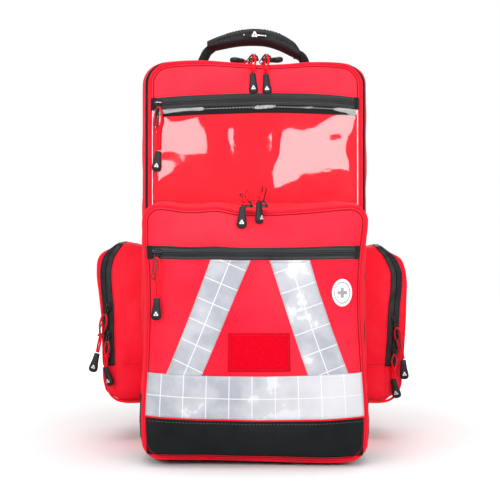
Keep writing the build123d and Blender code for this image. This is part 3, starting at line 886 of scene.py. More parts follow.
def lid_point(x, z, lift=0.0, rough=1.0):
    """Point on the main lid's bulged face over flat (x, z). rough is how much of the cloth's
    unevenness it follows."""
    x, z = np.asarray(x, float), np.asarray(z, float)
    full = dome(x, z, 152, LID_MID, LID_MID, 3, 3.4)
    y = LID_Y - LID_BULGE * full
    rise = curve(x, (-150, 0), (-60, 4), (20, 7), (90, 5), (150, 1))
    zz = z + body_wave(x, z, -95) + rise * np.exp(-((z - 500) / 42) ** 2)
    spot = stack(x, 0, zz)
    folds = wobble(spot, 3, 120, 1.1) + wobble(spot, 4, 46, 0.45)
    y = y - rough * folds * np.clip(full * 2, 0, 1)
    return stack(x + LID_SHIFT, y - lift, zz)


POCKET_HALF, POCKET_Y, POCKET_BULGE, POCKET_MID = 144.0, -199.5, 26, 176


def pocket_edge(x, z):
    """Uneven outline of the front pocket's face: real x and z over flat (x, z)."""
    left = curve(z, (8, 144.5), (60, 147), (130, 143.5), (200, 141), (250, 141.5), (300, 144.5),
                 (344, 145.5))
    right = curve(z, (8, 147), (60, 149), (130, 145), (200, 141), (240, 140.5), (287, 144),
                  (325, 148.5), (344, 148.5))
    real_x = x / POCKET_HALF * np.where(x < 0, left, right)
    top = curve(x, (-144, 1), (-120, 1.5), (-92, -2.5), (-72, -2.8), (-49, -1), (-24, -6),
                (0, -7), (49, -5.5), (83, -2.5), (116, 1), (144, 1))
    foot = curve(x, (-144, 1), (-60, 1.5), (0, 0), (60, -2), (100, -3), (144, -1))
    rise = np.clip((z - 190) / 154, 0, 1) ** 3
    fall = np.clip((130 - z) / 122, 0, 1) ** 2
    sag = -4.6 * np.cos(np.clip(x / 146, -1, 1) * math.pi / 2) * np.exp(-((z - 100) / 58) ** 2)
    return real_x, z + top * rise + foot * fall + sag


def pocket_point(x, z, lift=0.0):
    """Point on the front pocket's face over flat (x, z)."""
    x, z = np.asarray(x, float), np.asarray(z, float)
    full = dome(x, z, 146, POCKET_MID, 170, 2.8, 3.2)
    real_x, real_z = pocket_edge(x, z)
    spot = stack(x, 0, z)
    rough = wobble(spot, 11, 110, 1.2) + wobble(spot, 12, 42, 0.5)
    y = POCKET_Y - POCKET_BULGE * full - rough * np.clip(full * 2, 0, 1)
    return stack(real_x, y - lift, real_z)


# main lid: face, piping and a dark tube beside it, painted shade in the groove by the piping
px, pz = arc_panel(150, 3, 551, 25, 72, 130)
lid_face = surface("lid_face", lid_point(px, pz), "main_lid", [red_cloth, lining], thick=3.0)
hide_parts("lid_panel")

edge_front = body_ring(-94.5)
piping = tube("lid_piping", stack(edge_front[:, 0], -95.2, np.maximum(edge_front[:, 1], 2.6)),
              2.5, "main_lid", [red_trim], closed=True, sides=12)

inner = arc_ring(146.4, 6.6, 547.4, 21.5, 50, 76, 10)
lid_ditch_shadow = tube("lid_ditch_shadow", lid_point(inner[:, 0], inner[:, 1], 0.0), 0.8, "main_lid",
                 [seam_shade], closed=True, sides=8)

# tapes of the two zips round the body, plain seams below the zips' ends, and coils
FRONT_ZIP_LOW, REAR_ZIP_LOW = 45, 305
FRONT_GAP, REAR_GAP = (-88.9, -88.1), (-12.4, -11.6)
MID_FRONT, MID_BACK, REAR_FRONT, REAR_BACK = -82.5, -17.5, -6.5, 92
for tag, body, y0, y1, low, inset in (
        ("front_tape_lid", "main_lid", -94.0, FRONT_GAP[0], FRONT_ZIP_LOW, -0.3),
        ("front_tape_mid", "mid_section", FRONT_GAP[1], MID_FRONT, FRONT_ZIP_LOW, -0.3),
        ("rear_tape_mid", "mid_section", MID_BACK, REAR_GAP[0], REAR_ZIP_LOW, 1.0),
        ("rear_tape_body", "carrier", REAR_GAP[1], REAR_FRONT, REAR_ZIP_LOW, 1.0)):
    band = body_band(y0, y1, 2.5, 20, inset=inset)
    tape = surface(tag, band, body, [tape_cloth, tape_cloth], thick=1.0, wrap=True,
                   flip=True, keep=above(low))
    seam = surface(tag + "_seam", body_band(y0, y1, 2.5, 20, inset=inset - 0.6), body,
                   [red_cloth, lining], thick=1.2, wrap=True, flip=True,
                   keep=below(low))
    tooth_y = y1 if y1 in (FRONT_GAP[0], REAR_GAP[0]) else y0
    ring = body_ring(tooth_y, inset - 0.5)
    ring = ring[run_of(ring[:, 1] > low)]
    coil = tube(tag + "_coil", stack(ring[:, 0], tooth_y, ring[:, 1]), 1.25, body,
                [tape_cloth], sides=8)
    if tag == "front_tape_mid":
        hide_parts("front_zip_tape")
    if tag == "rear_tape_body":
        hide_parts("rear_zip_tape")

# middle section: gusset and the divider behind it
mid_gusset = surface("mid_gusset",
                     body_band(MID_FRONT, MID_BACK, 5, 31, puff=2.0, crease=0.9),
                     "mid_section", [red_cloth, lining], thick=3.0, wrap=True, flip=True)
px, pz = arc_panel(161, 4, 556, 24, 44, 90)
divider = surface("mid_divider", stack(px, -15.5 + wobble(stack(px, 0, pz), 41, 160, 0.5), pz),
                  "mid_section", [lining, lining], thick=2.0)
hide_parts("mid_shell")

# rear section: gusset, back wall, coated boot
BACK_Y, BACK_BULGE = 91.5, 3.2
rear_gusset = surface("rear_gusset",
                      body_band(REAR_FRONT, REAR_BACK, 6, 51, puff=1.0, crease=0.9),
                      "carrier", [red_cloth, lining], thick=3.5, wrap=True, flip=True)
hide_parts("back_shell")
px, pz = arc_panel(158, 3, 554, 25, 60, 110)


def back_point(x, z):
    """Point on the back wall over flat (x, z)."""
    full = dome(x, z, 160, 278, 278, 3, 4)
    return stack(x, BACK_Y + BACK_BULGE * full + wobble(stack(x, 0, z), 61, 100, 0.5) * full, z)


back_face = surface("back_face", back_point(px, pz), "carrier", [red_cloth, lining], thick=3.0,
                    flip=True)
BASE_BOOT_TOP, POCKET_BOOT_TOP = 57, 93
edge_back = body_ring(92.5)
back_piping = tube("back_piping",
                   stack(edge_back[:, 0], 92.5, np.maximum(edge_back[:, 1], 2.3)), 2.2,
                   "carrier", [red_trim], closed=True, sides=12)
boot = body_band(REAR_FRONT, REAR_BACK, 6, 51, puff=1.0, crease=0.9)
boot_out = np.stack([ring_out(boot[:, i][:, (0, 2)]) for i in range(boot.shape[1])], axis=1)
boot[:, :, 0] += boot_out[:, :, 0]
boot[:, :, 2] = np.maximum(boot[:, :, 2] + boot_out[:, :, 1], 0.2)
base_boot = surface("base_boot_cover", boot, "carrier", [tarpaulin, tarpaulin], thick=0.8,
                    wrap=True, flip=True, keep=below(BASE_BOOT_TOP))
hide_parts("base_boot")

# ---------------------------------------------------------------- coated zips on the faces
# (distance from the middle, height) across a coated zip
ZIP_SECTION = ((-8.6, 0.15), (-8.3, 0.7), (-7.2, 0.9), (-6.9, 0.75), (-2.4, 0.95), (-2.0, 1.25),
               (-0.75, 1.5), (-0.35, 1.3), (0, 0.35), (0.35, 1.3), (0.75, 1.5), (2.0, 1.25),
               (2.4, 0.95), (6.9, 0.75), (7.2, 0.9), (8.3, 0.7), (8.6, 0.15))


def face_zip(name, point, x0, x1, z_mid, body, seed, node):
    """Straight coated zip on a face, with a stop at each end."""
    xs = np.linspace(x0, x1, 90)
    dz, up = np.array(ZIP_SECTION).T
    bead = 1 + 0.25 * wobble(stack(xs, 0, 0), seed, 28, 1)
    rows = [point(xs, z_mid + d, 0.3 + u * (1 + 0.12 * (bead - 1))) for d, u in zip(dz, up)]
    piece = surface(name, np.stack(rows, axis=1), body, [zip_coating, tape_cloth], thick=0.6,
                    angle=70)
    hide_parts(node)
    for tag, a, b in (("_stop_a", x0 - 3.5, x0 + 4.0), ("_stop_b", x1 - 3.0, x1 + 3.5)):
        gx = np.linspace(a, b, 6)
        gz = np.linspace(z_mid - 8.8, z_mid + 8.8, 14)
        tab = surface(name + tag, point(gx[:, None], gz[None, :], 1.9), body,
                      [tape_cloth, tape_cloth], thick=1.6, angle=70)


PANEL_ZIP, WINDOW_ZIP = 284.5, 497.0
face_zip("panel_zip_coated", pocket_point, -139, 137, PANEL_ZIP, "pocket_lid", 71, "panel_zip")
face_zip("window_zip_coated", lid_point, -147, 145, WINDOW_ZIP, "main_lid", 72, "window_zip")


def sewn_row(name, point, x0, x1, z, body, mat, lift=0.35):
    """Level row of stitches on a face."""
    return stitches(name, point(np.linspace(x0, x1, 120), z, lift), FRONT, body, mat)


join("panel_stitching", [
    sewn_row("s1", pocket_point, -136, 134, 295.2, "pocket_lid", thread_red),
    sewn_row("s2", pocket_point, -136, 134, 273.6, "pocket_lid", thread_red)])
join("lid_stitching", [
    sewn_row("s3", lid_point, -144, 142, 508.2, "main_lid", thread_red),
    sewn_row("s4", lid_point, -146, 146, 358.0, "main_lid", thread_red)])

# ---------------------------------------------------------------- front pocket
flat_rim = arc_ring(POCKET_HALF, 11, 344, 19, 46, 56, 9, low_radius=22)
rim_x, rim_z = pocket_edge(flat_rim[:, 0], flat_rim[:, 1])
rim = np.stack((rim_x, rim_z), axis=1)
rim_out = ring_out(rim)


def pocket_band(y_front, y_back, step, inset=0.0, crease=1.0, lift=0.0):
    """Grid of the front pocket's gusset points (ring, depth) between two depths."""
    ys = np.linspace(y_front, y_back, max(2, int(round((y_back - y_front) / step)) + 1))
    swell = curve(ys, (-199, 0.0), (-190, 2.5), (-175, 7), (-150, 10.5), (-115, 9), (-96, 5))
    calm = np.clip((ys + 199) / 60, 0, 1) * 0.6
    base = rim[:, None] * (1 - calm)[None, :, None] + flat_rim[:, None] * calm[None, :, None]
    pts = base + rim_out[:, None] * (swell - inset + lift)[None, :, None]
    grid = stack(pts[..., 0], ys[None, :], pts[..., 1])
    fade = np.clip((ys + 197) / 14, 0, 1) * np.clip((-98 - ys) / 10, 0, 1)
    along = grid * (1.0, 0.35, 1.0)
    push = (wobble(along, 81, 70, crease) + wobble(along, 82, 26, crease * 0.4)) * fade
    push = push + np.maximum(wobble(grid * (0.25, 1.3, 0.5), 83, 30, 1.0), 0) * -1.4 * fade * crease
    grid[..., 0] += rim_out[:, None, 0] * push
    grid[..., 2] += rim_out[:, None, 1] * push
    grid[..., 2] = np.maximum(grid[..., 2], 1.0)
    return grid


pocket_gusset = surface("pocket_gusset", pocket_band(-190.5, -96, 4.5), "main_lid",
                        [red_cloth, lining], thick=2.5, wrap=True, flip=True)
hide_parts("pocket_shell")
pocket_boot = surface("pocket_boot_cover", pocket_band(-190.8, -97, 4.5, lift=0.9), "main_lid",
                      [tarpaulin, tarpaulin], thick=0.8, wrap=True, flip=True,
                      keep=below(POCKET_BOOT_TOP))
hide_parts("pocket_boot")
for tag, body, y0, y1 in (("pocket_tape_main", "main_lid", -194.4, -190),
                          ("pocket_tape_lid", "pocket_lid", -199, -195.0)):
    for part, keep, mats, slot_name in (
            ("", above(60), [tape_cloth, tape_cloth], "zip_tape"),
            ("_seam", below(60), [tarpaulin, tarpaulin], "black_coated")):
        strip = surface(tag + part, pocket_band(y0, y1, 2, inset=1.6, crease=0.0), body, mats,
                        thick=0.9, wrap=True, flip=True, keep=keep)
        if tag + part == "pocket_tape_main":
            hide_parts("pocket_zip_tape")

px, pz = arc_panel(POCKET_HALF - 1.0, 12, 343, 18, 76, 96, low_radius=21)
inner = arc_ring(POCKET_HALF - 3.9, 14.9, 340.1, 15.5, 46, 56, 9, low_radius=18.5)
# painted shade: a dark tube in the groove inside the pocket's piping
ditch_shadow = tube("pocket_ditch_shadow", pocket_point(inner[:, 0], inner[:, 1], 0.0), 0.9, "pocket_lid",
             [seam_shade], closed=True, sides=8)
pocket_face = surface("pocket_face", pocket_point(px, pz), "pocket_lid", [red_cloth, lining],
                      thick=2.5)
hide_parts("pocket_panel")
pocket_piping = tube("pocket_piping", stack(rim[:, 0], -200.2, rim[:, 1])
                     + np.stack((rim_out[:, 0], 0 * rim_out[:, 0], rim_out[:, 1]), 1) * 0.8,
                     2.8, "pocket_lid",
                     [red_trim], closed=True, sides=12)


# ---------------------------------------------------------------- trims on the pocket
def patch_grid(corners, nu, nv):
    """Bilinear grid of flat (x, z) from four corners: low left, low right, top right, top left."""
    a, b, c, d = np.array(corners, float)
    s = np.linspace(0, 1, nu)[:, None, None]
    t = np.linspace(0, 1, nv)[None, :, None]
    grid = (1 - s) * (1 - t) * a + s * (1 - t) * b + s * t * c + (1 - s) * t * d
    return grid[..., 0], grid[..., 1]


def trim(name, corners, lift, body, mats, node, nu=24, nv=30, thick=0.8, slide=0.0):
    """Flat piece on the pocket's face; its UVs run across and along its middle line."""
    x, z = patch_grid(corners, nu, nv)
    a, b, c, d = np.array(corners, float)
    low, high = (a + b) / 2, (c + d) / 2
    up = (high - low) / np.linalg.norm(high - low)
    dx, dz = x - low[0], z - low[1]
    uv = np.stack((dx * up[1] - dz * up[0], dx * up[0] + dz * up[1] + slide), axis=-1)
    piece = surface(name, pocket_point(x, z, lift), body, mats, thick=thick, uv=uv * MM)
    if node:
        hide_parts(node)


left_strip = ((-117.5, 122.0), (-70.5, 122.0), (-4.5, 275.6), (-57.5, 275.6))
right_strip = ((71.5, 122.0), (124.5, 122.0), (73.5, 275.6), (20.5, 275.6))
trim("left_strip", left_strip, 0.9, "pocket_lid", [tape_squares, tape_squares],
     "strip_left", 16, 44)
trim("right_strip", right_strip, 0.9, "pocket_lid", [tape_squares, tape_squares],
     "strip_right", 16, 44, slide=9.0)
trim("band", ((-141.0, 69.2), (141.0, 69.2), (141.0, 126.5), (-141.0, 126.5)), 1.9,
     "pocket_lid", [band_squares, band_squares], "reflective_band", 90, 18)
trim("loop_field", ((-34.5, 132), (47.5, 132), (47.5, 180), (-34.5, 180)), 0.9,
     "pocket_lid", [loop_pile, loop_pile], "loop_panel", 28, 18, 1.0)
trim("lower_cover", ((-141.2, 16.5), (141.2, 16.5), (141.2, 68.3), (-141.2, 68.3)), 0.7,
     "pocket_lid", [tarpaulin, tarpaulin], "lower_panel", 90, 22)
trim("red_edge", ((-143.0, 66.8), (143.0, 66.8), (143.0, 69.8), (-143.0, 69.8)), 1.3,
     "pocket_lid", [red_trim, red_trim], None, 90, 4)


def on_panel(name, outline, lift, body, mat, point=pocket_point, inner=None, high=0.5):
    """Small raised badge shape following the panel: a closed outline in flat (x, z), with an
    optional hole outline of as many points."""
    o = np.array(outline, float)
    mid = o.mean(axis=0)
    if inner is None:
        levels = ((1.0, 0.0), (1.0, high * 0.7), (0.97, high), (0.6, high), (0.02, high))
        rows = [point(*(mid + (o - mid) * k).T, lift + h) for k, h in levels]
    else:
        q = np.array(inner, float)
        rows = [point(*(o * (1 - t) + q * t).T, lift + h)
                for t, h in ((0, 0), (0, high * 0.8), (0.08, high), (0.92, high), (1, high * 0.8),
                             (1, 0))]
    return surface(name, np.stack(rows, axis=1), body, [mat], wrap=True, angle=50)


def circle(cx, cz, r, n=64, squash_z=1.0):
    """Circle of points in (x, z), taller than wide where squash_z is over 1."""
    turn = turns(n)
    return np.stack((cx + r * np.cos(turn), cz + r * squash_z * np.sin(turn)), 1)


def plus_shape(cx, cz, reach, arm):
    """Outline of a cross in (x, z)."""
    pts = []
    for k in range(4):
        c, s = math.cos(k * math.pi / 2), math.sin(k * math.pi / 2)
        for px_, pz_ in ((arm, -arm), (reach * 0.6, -arm), (reach, -arm), (reach, arm),
                         (reach * 0.6, arm), (arm, arm)):
            pts.append((cx + c * px_ - s * pz_, cz + s * px_ + c * pz_))
    return pts


BADGE_X, BADGE_Z = 118.5, 232.0


def badge_ring(k):
    """Outline of the round badge at k times its size."""
    return circle(BADGE_X, BADGE_Z, 13.8 * k, squash_z=1.3)


patch = join("round_badge", [
    on_panel("p0", badge_ring(1.0), 0.5, "pocket_lid", patch_white, high=1.3),
    on_panel("p1", badge_ring(0.80), 1.3, "pocket_lid", patch_grey, inner=badge_ring(0.72),
             high=0.75),
    on_panel("p2", plus_shape(BADGE_X, BADGE_Z, 6.6, 2.1), 1.3, "pocket_lid", patch_grey,
             high=0.8)])
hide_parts("round_patch")

seams = [sewn_row(f"q{k}", pocket_point, -31.5, 44.5, z, "pocket_lid", thread_red, 2.0)
         for k, z in enumerate((134.6, 177.4))]
for k, x in enumerate((-32.0, 45.0)):
    zs = np.linspace(134, 178, 40)
    seams.append(stitches(f"q{k + 2}", pocket_point(np.full(40, x), zs, 2.0), FRONT,
                          "pocket_lid", thread_red))
join("loop_sewing", seams)


def evenly(pts, count):
    """Evenly spaced points along straight runs."""
    pts = np.array(pts, float)
    far = steps_along(pts)
    at = np.linspace(0, far[-1], count)
    return np.stack([np.interp(at, far, pts[:, k]) for k in range(pts.shape[1])], 1)


def sewn_path(name, pts, lift, body, mat, point=pocket_point, n=160, **kind):
    """Stitches on a face along straight runs in flat (x, z)."""
    return stitches(name, point(*evenly(pts, n).T, lift), FRONT, body, mat, **kind)


fine = dict(length=2.2, gap=1.5, wide=0.5, high=0.3)
join("band_sewing", [
    sewn_path("b0", ((-140, 123.2), (140, 123.2)), 2.7, "pocket_lid", thread_pale, **fine),
    sewn_path("b1", ((-140, 72.4), (140, 72.4)), 2.7, "pocket_lid", thread_pale, **fine),
    sewn_path("b2", ((-140.2, 72.4), (-140.2, 123.2)), 2.7, "pocket_lid", thread_pale, **fine),
    sewn_path("b3", ((140.2, 72.4), (140.2, 123.2)), 2.7, "pocket_lid", thread_pale, **fine),
    sewn_path("b4", ((-141, 62.6), (141, 62.6)), 1.3, "pocket_lid", thread_black),
])
join("strip_sewing", [
    sewn_path(f"t{k}", line, 1.6, "pocket_lid", mat, **fine)
    for k, (line, mat) in enumerate((
        (((-116.0, 122.5), (-56.5, 275)), thread_pale), (((-72.2, 122.5), (-6.4, 275)), thread_pale),
        (((73.5, 122.5), (22.5, 275)), thread_pale), (((122.6, 122.5), (71.5, 275)), thread_pale),
        (((-56, 272.2), (-7, 272.2)), thread_red), (((23, 272.2), (73, 272.2)), thread_red)))])


# ---------------------------------------------------------------- clear pocket on the lid
def film_lift(x, z):
    """Gap between the clear film and the lid: billowed in the middle, wrinkled by its edges."""
    u, v = np.clip(np.abs(x) / 148, 0, 1), np.clip((z - 354) / 128, 0, 1)
    room = (1 - u ** 6) * np.clip(4 * v * (1 - v), 0, 1) ** 0.6
    spot = stack(x, 0, z)
    side = np.clip((np.abs(x) - 70) / 70, 0, 1)
    calm = np.clip((np.abs(x) - 10) / 60, 0, 1) * 0.75 + 0.25
    soft = wobble(spot, 91, 95, 0.55) * calm + wobble(spot, 92, 48, 0.08 + 0.34 * side)
    ridge = np.abs(wobble(spot, 93, 55, 1.0)) * (0.05 + 1.0 * side)
    fan = np.sin((np.abs(x) - z * 0.35) / 6.5 + 1.5 * wobble(spot, 94, 60, 0.8))
    fan = fan * (0.05 + 0.10 * np.exp(-((np.abs(x) - 40) / 22) ** 2) + 0.06 * side)
    return 1.0 + room * (3.2 + soft - ridge * 0.6 + fan), 1 - 0.88 * room


FILM_LOW, FILM_HIGH = 353, 488.5
xs, zs = np.meshgrid(np.linspace(-147.5, 146.5, 150), np.linspace(FILM_LOW, FILM_HIGH, 76),
                     indexing="ij")
lift, follow = film_lift(xs, zs)
film_piece = surface("clear_window", lid_point(xs, zs, np.maximum(lift, 0.75), follow), "main_lid",
                     [clear_film], angle=80)
film_piece.visible_shadow = False
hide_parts("window_film")
hx, hz = np.meshgrid(np.linspace(-146, 144, 110), np.linspace(478.5, 489.0, 6), indexing="ij")
hem = surface("window_hem", lid_point(hx, hz, 0.45), "main_lid", [webbing_cloth, webbing_cloth],
              thick=0.7)
sewn_path("window_hem_sewing", ((-144, 486.0), (143, 486.0)), 1.25, "main_lid", thread_pale,
          lid_point, 200, length=2.6, gap=2.0, wide=0.9, high=0.5)
for tag, x0, x1 in (("left", -148.2, -147.0), ("right", 145.6, 147.0)):
    gx, gz = np.meshgrid(np.linspace(x0, x1, 4), np.linspace(FILM_LOW, FILM_HIGH, 70),
                         indexing="ij")
    weld = surface("film_weld_" + tag, lid_point(gx, gz, 1.0), "main_lid", [film_hem], angle=80)


# ---------------------------------------------------------------- side pockets
SIDE_IN = 165.0
# (height, distance from the middle) of each pocket's outer fold and of its zip; -1 is left
SIDE_FOLD = {
    -1: ((57, 203), (61, 209), (70, 219), (85, 224.5), (120, 227), (194, 229.5), (227, 233),
         (258, 236), (280, 233.5), (292, 227), (300, 217)),
    1: ((57, 203), (62, 208), (70, 215), (80, 221), (100, 223.5), (160, 228), (214, 230),
        (254, 230), (268, 227.5), (288, 217), (296, 207), (300, 203))}
SIDE_ZIP = {
    -1: ((115, 217.5), (160, 219), (201, 219.5), (238, 222.5), (262, 223), (285, 217), (300, 208)),
    1: ((115, 207), (160, 210), (205, 212), (240, 215.5), (262, 215), (285, 205), (300, 194))}
SIDE_TOP = {-1: -4.5, 1: -8.0}      # how far each pocket's top sags
SIDE_SPLIT = 115.0                  # height where the lid ends and the foot begins
SIDE_HALF, SIDE_MID, SIDE_LOW, SIDE_HIGH = 57, 33.0, 58, 300
side_ring = arc_ring(SIDE_HALF, SIDE_LOW, SIDE_HIGH, 22, 26, 52, 9) + (SIDE_MID, 0)
side_out = ring_out(side_ring)


def side_drop(s, z):
    """Sag of a side pocket at a height."""
    return SIDE_TOP[s] * np.clip((z - 60) / 240, 0, 1)


def side_point(s, ring_yz, out_yz, x):
    """Point on a side pocket's gusset, s the side, for real x distance from the middle."""
    y, z = ring_yz[..., 0], ring_yz[..., 1]
    edge = curve(z, *SIDE_FOLD[s])
    f = np.clip((x - SIDE_IN) / (edge - SIDE_IN), 0, 1.02)
    inset = curve(f, (0, 1.5), (0.25, -1.5), (0.6, -3.2), (0.82, -1.5), (0.94, 2.5), (1, 6.5))
    front_top = np.exp(-((y + 24) / 20) ** 2 - ((z - 300) / 20) ** 2)
    inset = inset + front_top * (9 * np.maximum(1 - f, 0) ** 0.8 if s < 0 else 4 * (1 - f))
    grid = stack(s * x, y - out_yz[..., 0] * inset, z - out_yz[..., 1] * inset)
    fade = np.clip(4 * f * (1 - f), 0, 1)
    push = (wobble(grid * (0.8, 1, 0.7), 101 + s, 60, 1.2) + wobble(grid, 103 + s, 24, 0.5)) * fade
    grid[..., 1] += out_yz[..., 0] * push
    grid[..., 2] += out_yz[..., 1] * push
    grid[..., 2] += side_drop(s, z)
    return grid


def side_band(s, lo, hi, n, raise_by=0.0):
    """Gusset grid between two x limits, each a function of height or a number."""
    z = side_ring[:, 1]
    a = lo(z) if callable(lo) else np.full(len(z), lo)
    b = hi(z) if callable(hi) else np.full(len(z), hi)
    x = a[:, None] + (b - a)[:, None] * np.linspace(0, 1, n)[None, :]
    ring = np.repeat(side_ring[:, None], n, 1)
    out = np.repeat(side_out[:, None], n, 1)
    grid = side_point(s, ring, out, x)
    r = np.asarray(raise_by, float)
    grid[..., 1] += out[..., 0] * r
    grid[..., 2] += out[..., 1] * r
    return grid


for s, tag in ((-1, "left"), (1, "right")):
    lid = "side_lid_" + tag

    def middle(z):
        return curve(z, *SIDE_ZIP[s])

    def fold(z):
        return curve(z, *SIDE_FOLD[s])

    flip = s < 0
    limit = SIDE_SPLIT + SIDE_TOP[s] * 0.25
    cloth_inner = surface(f"side_gusset_{tag}",
                          side_band(s, SIDE_IN - 3, lambda z: middle(z) - 8.0, 16),
                          "carrier", [red_cloth, lining], thick=2.2, wrap=True, flip=flip)
    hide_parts(f"side_pocket_{tag}")
    foot = surface(f"side_foot_{tag}", side_band(s, lambda z: middle(z) - 9.0, fold, 12), "carrier",
                   [red_cloth, lining], thick=2.2, wrap=True, flip=flip, keep=below(limit))
    crown = surface(f"side_lid_gusset_{tag}", side_band(s, lambda z: middle(z) + 8.0, fold, 7),
                    lid, [red_cloth, lining], thick=2.2, wrap=True, flip=flip, keep=above(limit))
    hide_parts(f"side_panel_{tag}")
    dz, up = np.array(ZIP_SECTION).T
    for part, body, a, b in (("inner", "carrier", -8.8, -0.25), ("outer", lid, 0.25, 8.8)):
        high = np.interp(np.linspace(a, b, 10), dz, up) + 0.3
        strip = surface(f"side_zip_{part}_{tag}",
                        side_band(s, lambda z: middle(z) + a, lambda z: middle(z) + b, 10,
                                  high[None, :]),
                        body, [zip_coating, tape_cloth], thick=0.8, wrap=True, flip=flip,
                        keep=above(limit), angle=70)
        if part == "inner":
            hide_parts(f"side_tape_{tag}")
    # outer panel, its piping and the piping along the foot
    ys, zs = arc_panel(53, 60, 298, 20, 34, 70)
    edge = curve(zs, *SIDE_FOLD[s])
    full = dome(ys, zs, 53, 179, 119, 3, 6)
    ox = edge - 0.5 + (3.0 + wobble(stack(0, ys, zs), 111 + s, 60, 0.8)) * full
    panel = stack(s * ox, SIDE_MID + 0.98 * ys,
                  zs + side_drop(s, zs) - np.clip((zs - 240) / 58, 0, 1) * 5
                  + np.clip((110 - zs) / 50, 0, 1) * 5)
    for part, body, keep in (("lid", lid, above(limit)), ("foot", "carrier", below(limit))):
        face = surface(f"side_face_{part}_{tag}", panel, body, [red_cloth, lining], thick=2.2,
                       keep=keep, flip=flip)
    rim_line = side_point(s, side_ring, side_out, fold(side_ring[:, 1]))
    high = rim_line[:, 2] > limit
    lid_pipe = tube(f"side_piping_lid_{tag}", rim_line[run_of(high)], 1.9, lid, [red_trim],
                    sides=10)
    foot_pipe = tube(f"side_piping_foot_{tag}", rim_line[run_of(~high)], 1.9, "carrier",
                     [red_trim], sides=10)
    seam_x = np.linspace(168, float(middle(np.array(116.0))) + 9, 40)
    seam_line = stack(s * seam_x, -26.2 - 1.5 * np.sin((seam_x - 165) / 60 * math.pi), limit + 2.5)
    stitches(f"side_seam_{tag}", seam_line, FRONT, "carrier", thread_red)
    foot_line = refine([(s * 166, -22, 59.2), (s * 180, -23.5, 58.6), (s * 196, -23.0, 59.2),
                        (s * 207, -21, 62), (s * 216, -18.5, 69), (s * 221, -17.0, 79)], 40)
    edging = tube(f"side_edging_{tag}", foot_line, 1.9, "carrier", [red_trim], sides=10)
    zs_line = np.linspace(limit + 4, 286, 90)
    for part, body, off in (("in", "carrier", -10.6), ("out", lid, 10.2)):
        xx = np.minimum(middle(zs_line) + off, fold(zs_line) - 0.4)
        ring = np.stack((np.full(90, SIDE_MID - SIDE_HALF), zs_line), 1)
        pts = side_point(s, ring, np.repeat([[-1.0, 0.0]], 90, 0), xx)
        pts[:, 1] -= 0.2
        stitches(f"side_zip_sewing_{part}_{tag}", pts, FRONT, body, thread_red)


# ---------------------------------------------------------------- handle
HANDLE_Y = 45
xs = np.linspace(-72.5, 72.5, 190)
top_line = curve(xs, (-72.5, 617), (-60, 622.5), (-48, 627), (-25, 633.5), (-8, 636.3),
                 (8, 636.5), (25, 634), (45, 627.5), (58, 620), (66, 614), (72.5, 604.5))
low_line = curve(xs, (-72.5, 601), (-60, 603), (-45, 606.0), (-25, 609.5), (0, 611), (20, 609.5),
                 (40, 603.5), (58, 595), (72.5, 588))
deep = curve(xs, (-72.5, 14.8), (-60, 14.8), (-30, 14), (0, 15.0), (30, 14), (60, 14.8),
             (72.5, 14.8))
rib = np.maximum(np.sin((np.abs(xs) - 17) / 4.6 * TAU), 0) ** 1.5
rib *= ((np.abs(xs) > 17) & (np.abs(xs) < 42)) * 1.3
rings = []
for x, a, b, d, r in zip(xs, top_line, low_line, deep, rib):
    turn = turns(44)
    c, s_ = boxy(np.cos(turn), 0.75), boxy(np.sin(turn), 0.8)
    m, h = (a + b) / 2, (a - b) / 2
    bump = np.clip(s_, 0, 1) ** 3 * r
    rings.append(stack(x, HANDLE_Y + d * c, m + h * s_ + bump))
ends = []
for k in (0, -1):
    mid = rings[k].mean(axis=0)
    lip = mid + (rings[k] - mid) * 0.86
    inner = lip.copy()
    inner[:, 0] += 4 if k == 0 else -4
    ends.append((lip, inner))
rings = [ends[0][1], ends[0][0]] + rings + [ends[1][0], ends[1][1]]
grip_body = loft(rings, "handle_grip_body", "handle", handle_rubber)


def grip_face_y(x, z):
    """Depth of the grip's front face at (x, z)."""
    a, b, d = (np.interp(x, xs, line) for line in (top_line, low_line, deep))
    m, h = (a + b) / 2, (a - b) / 2
    s_ = np.clip(np.abs((z - m) / h), 0, 0.999) ** (1 / 0.8)
    c = np.sqrt(1 - s_ ** 2) ** 0.75
    return HANDLE_Y - d * c


def on_grip(x, z, lift=0.0):
    """Point on the grip's front face."""
    x, z = np.broadcast_arrays(np.asarray(x, float), z)
    return stack(x, grip_face_y(x, z) - lift, z)


def grip_oval(cx, cz, rx, rz, tilt, n=48):
    """Tilted oval outline in (x, z)."""
    turn = turns(n)
    px_, pz_ = rx * np.cos(turn), rz * np.sin(turn)
    return np.stack((cx + px_ * math.cos(tilt) - pz_ * math.sin(tilt),
                     cz + px_ * math.sin(tilt) + pz_ * math.cos(tilt)), 1)


handle_bits = [grip_body]
badge_at = (2.0, 624.5)
handle_bits.append(on_panel("g0", grip_oval(*badge_at, 21.5, 6.4, -0.05), -0.1, "handle",
                            handle_rubber, on_grip, grip_oval(*badge_at, 19.6, 5.2, -0.05), 1.0))
handle_bits.append(on_panel("g1", grip_oval(*badge_at, 19.7, 5.3, -0.05), -0.2, "handle",
                            plastic_black, on_grip, high=0.7))
turn = turns(30) + math.pi / 2
reach = 4.4 + 1.0 * np.cos(3 * (turn - math.pi / 2))
handle_bits.append(on_panel("g2", np.stack((badge_at[0] + reach * np.cos(turn),
                                            badge_at[1] + 0.4 + reach * np.sin(turn)), 1), 0.4,
                            "handle", emblem_silver, on_grip, high=0.9))
handle_bits.append(on_panel("g3", circle(badge_at[0], badge_at[1] + 0.2, 1.0, 20), 1.2, "handle",
                            plastic_black, on_grip, high=0.3))
for cx, cz, r in ((-15.0, 625.2, 1.1), (18.6, 623.3, 1.3)):
    handle_bits.append(on_panel(f"g{cx}", circle(cx, cz, r, 20), 0.4, "handle", silver_metal,
                                on_grip, high=0.6))
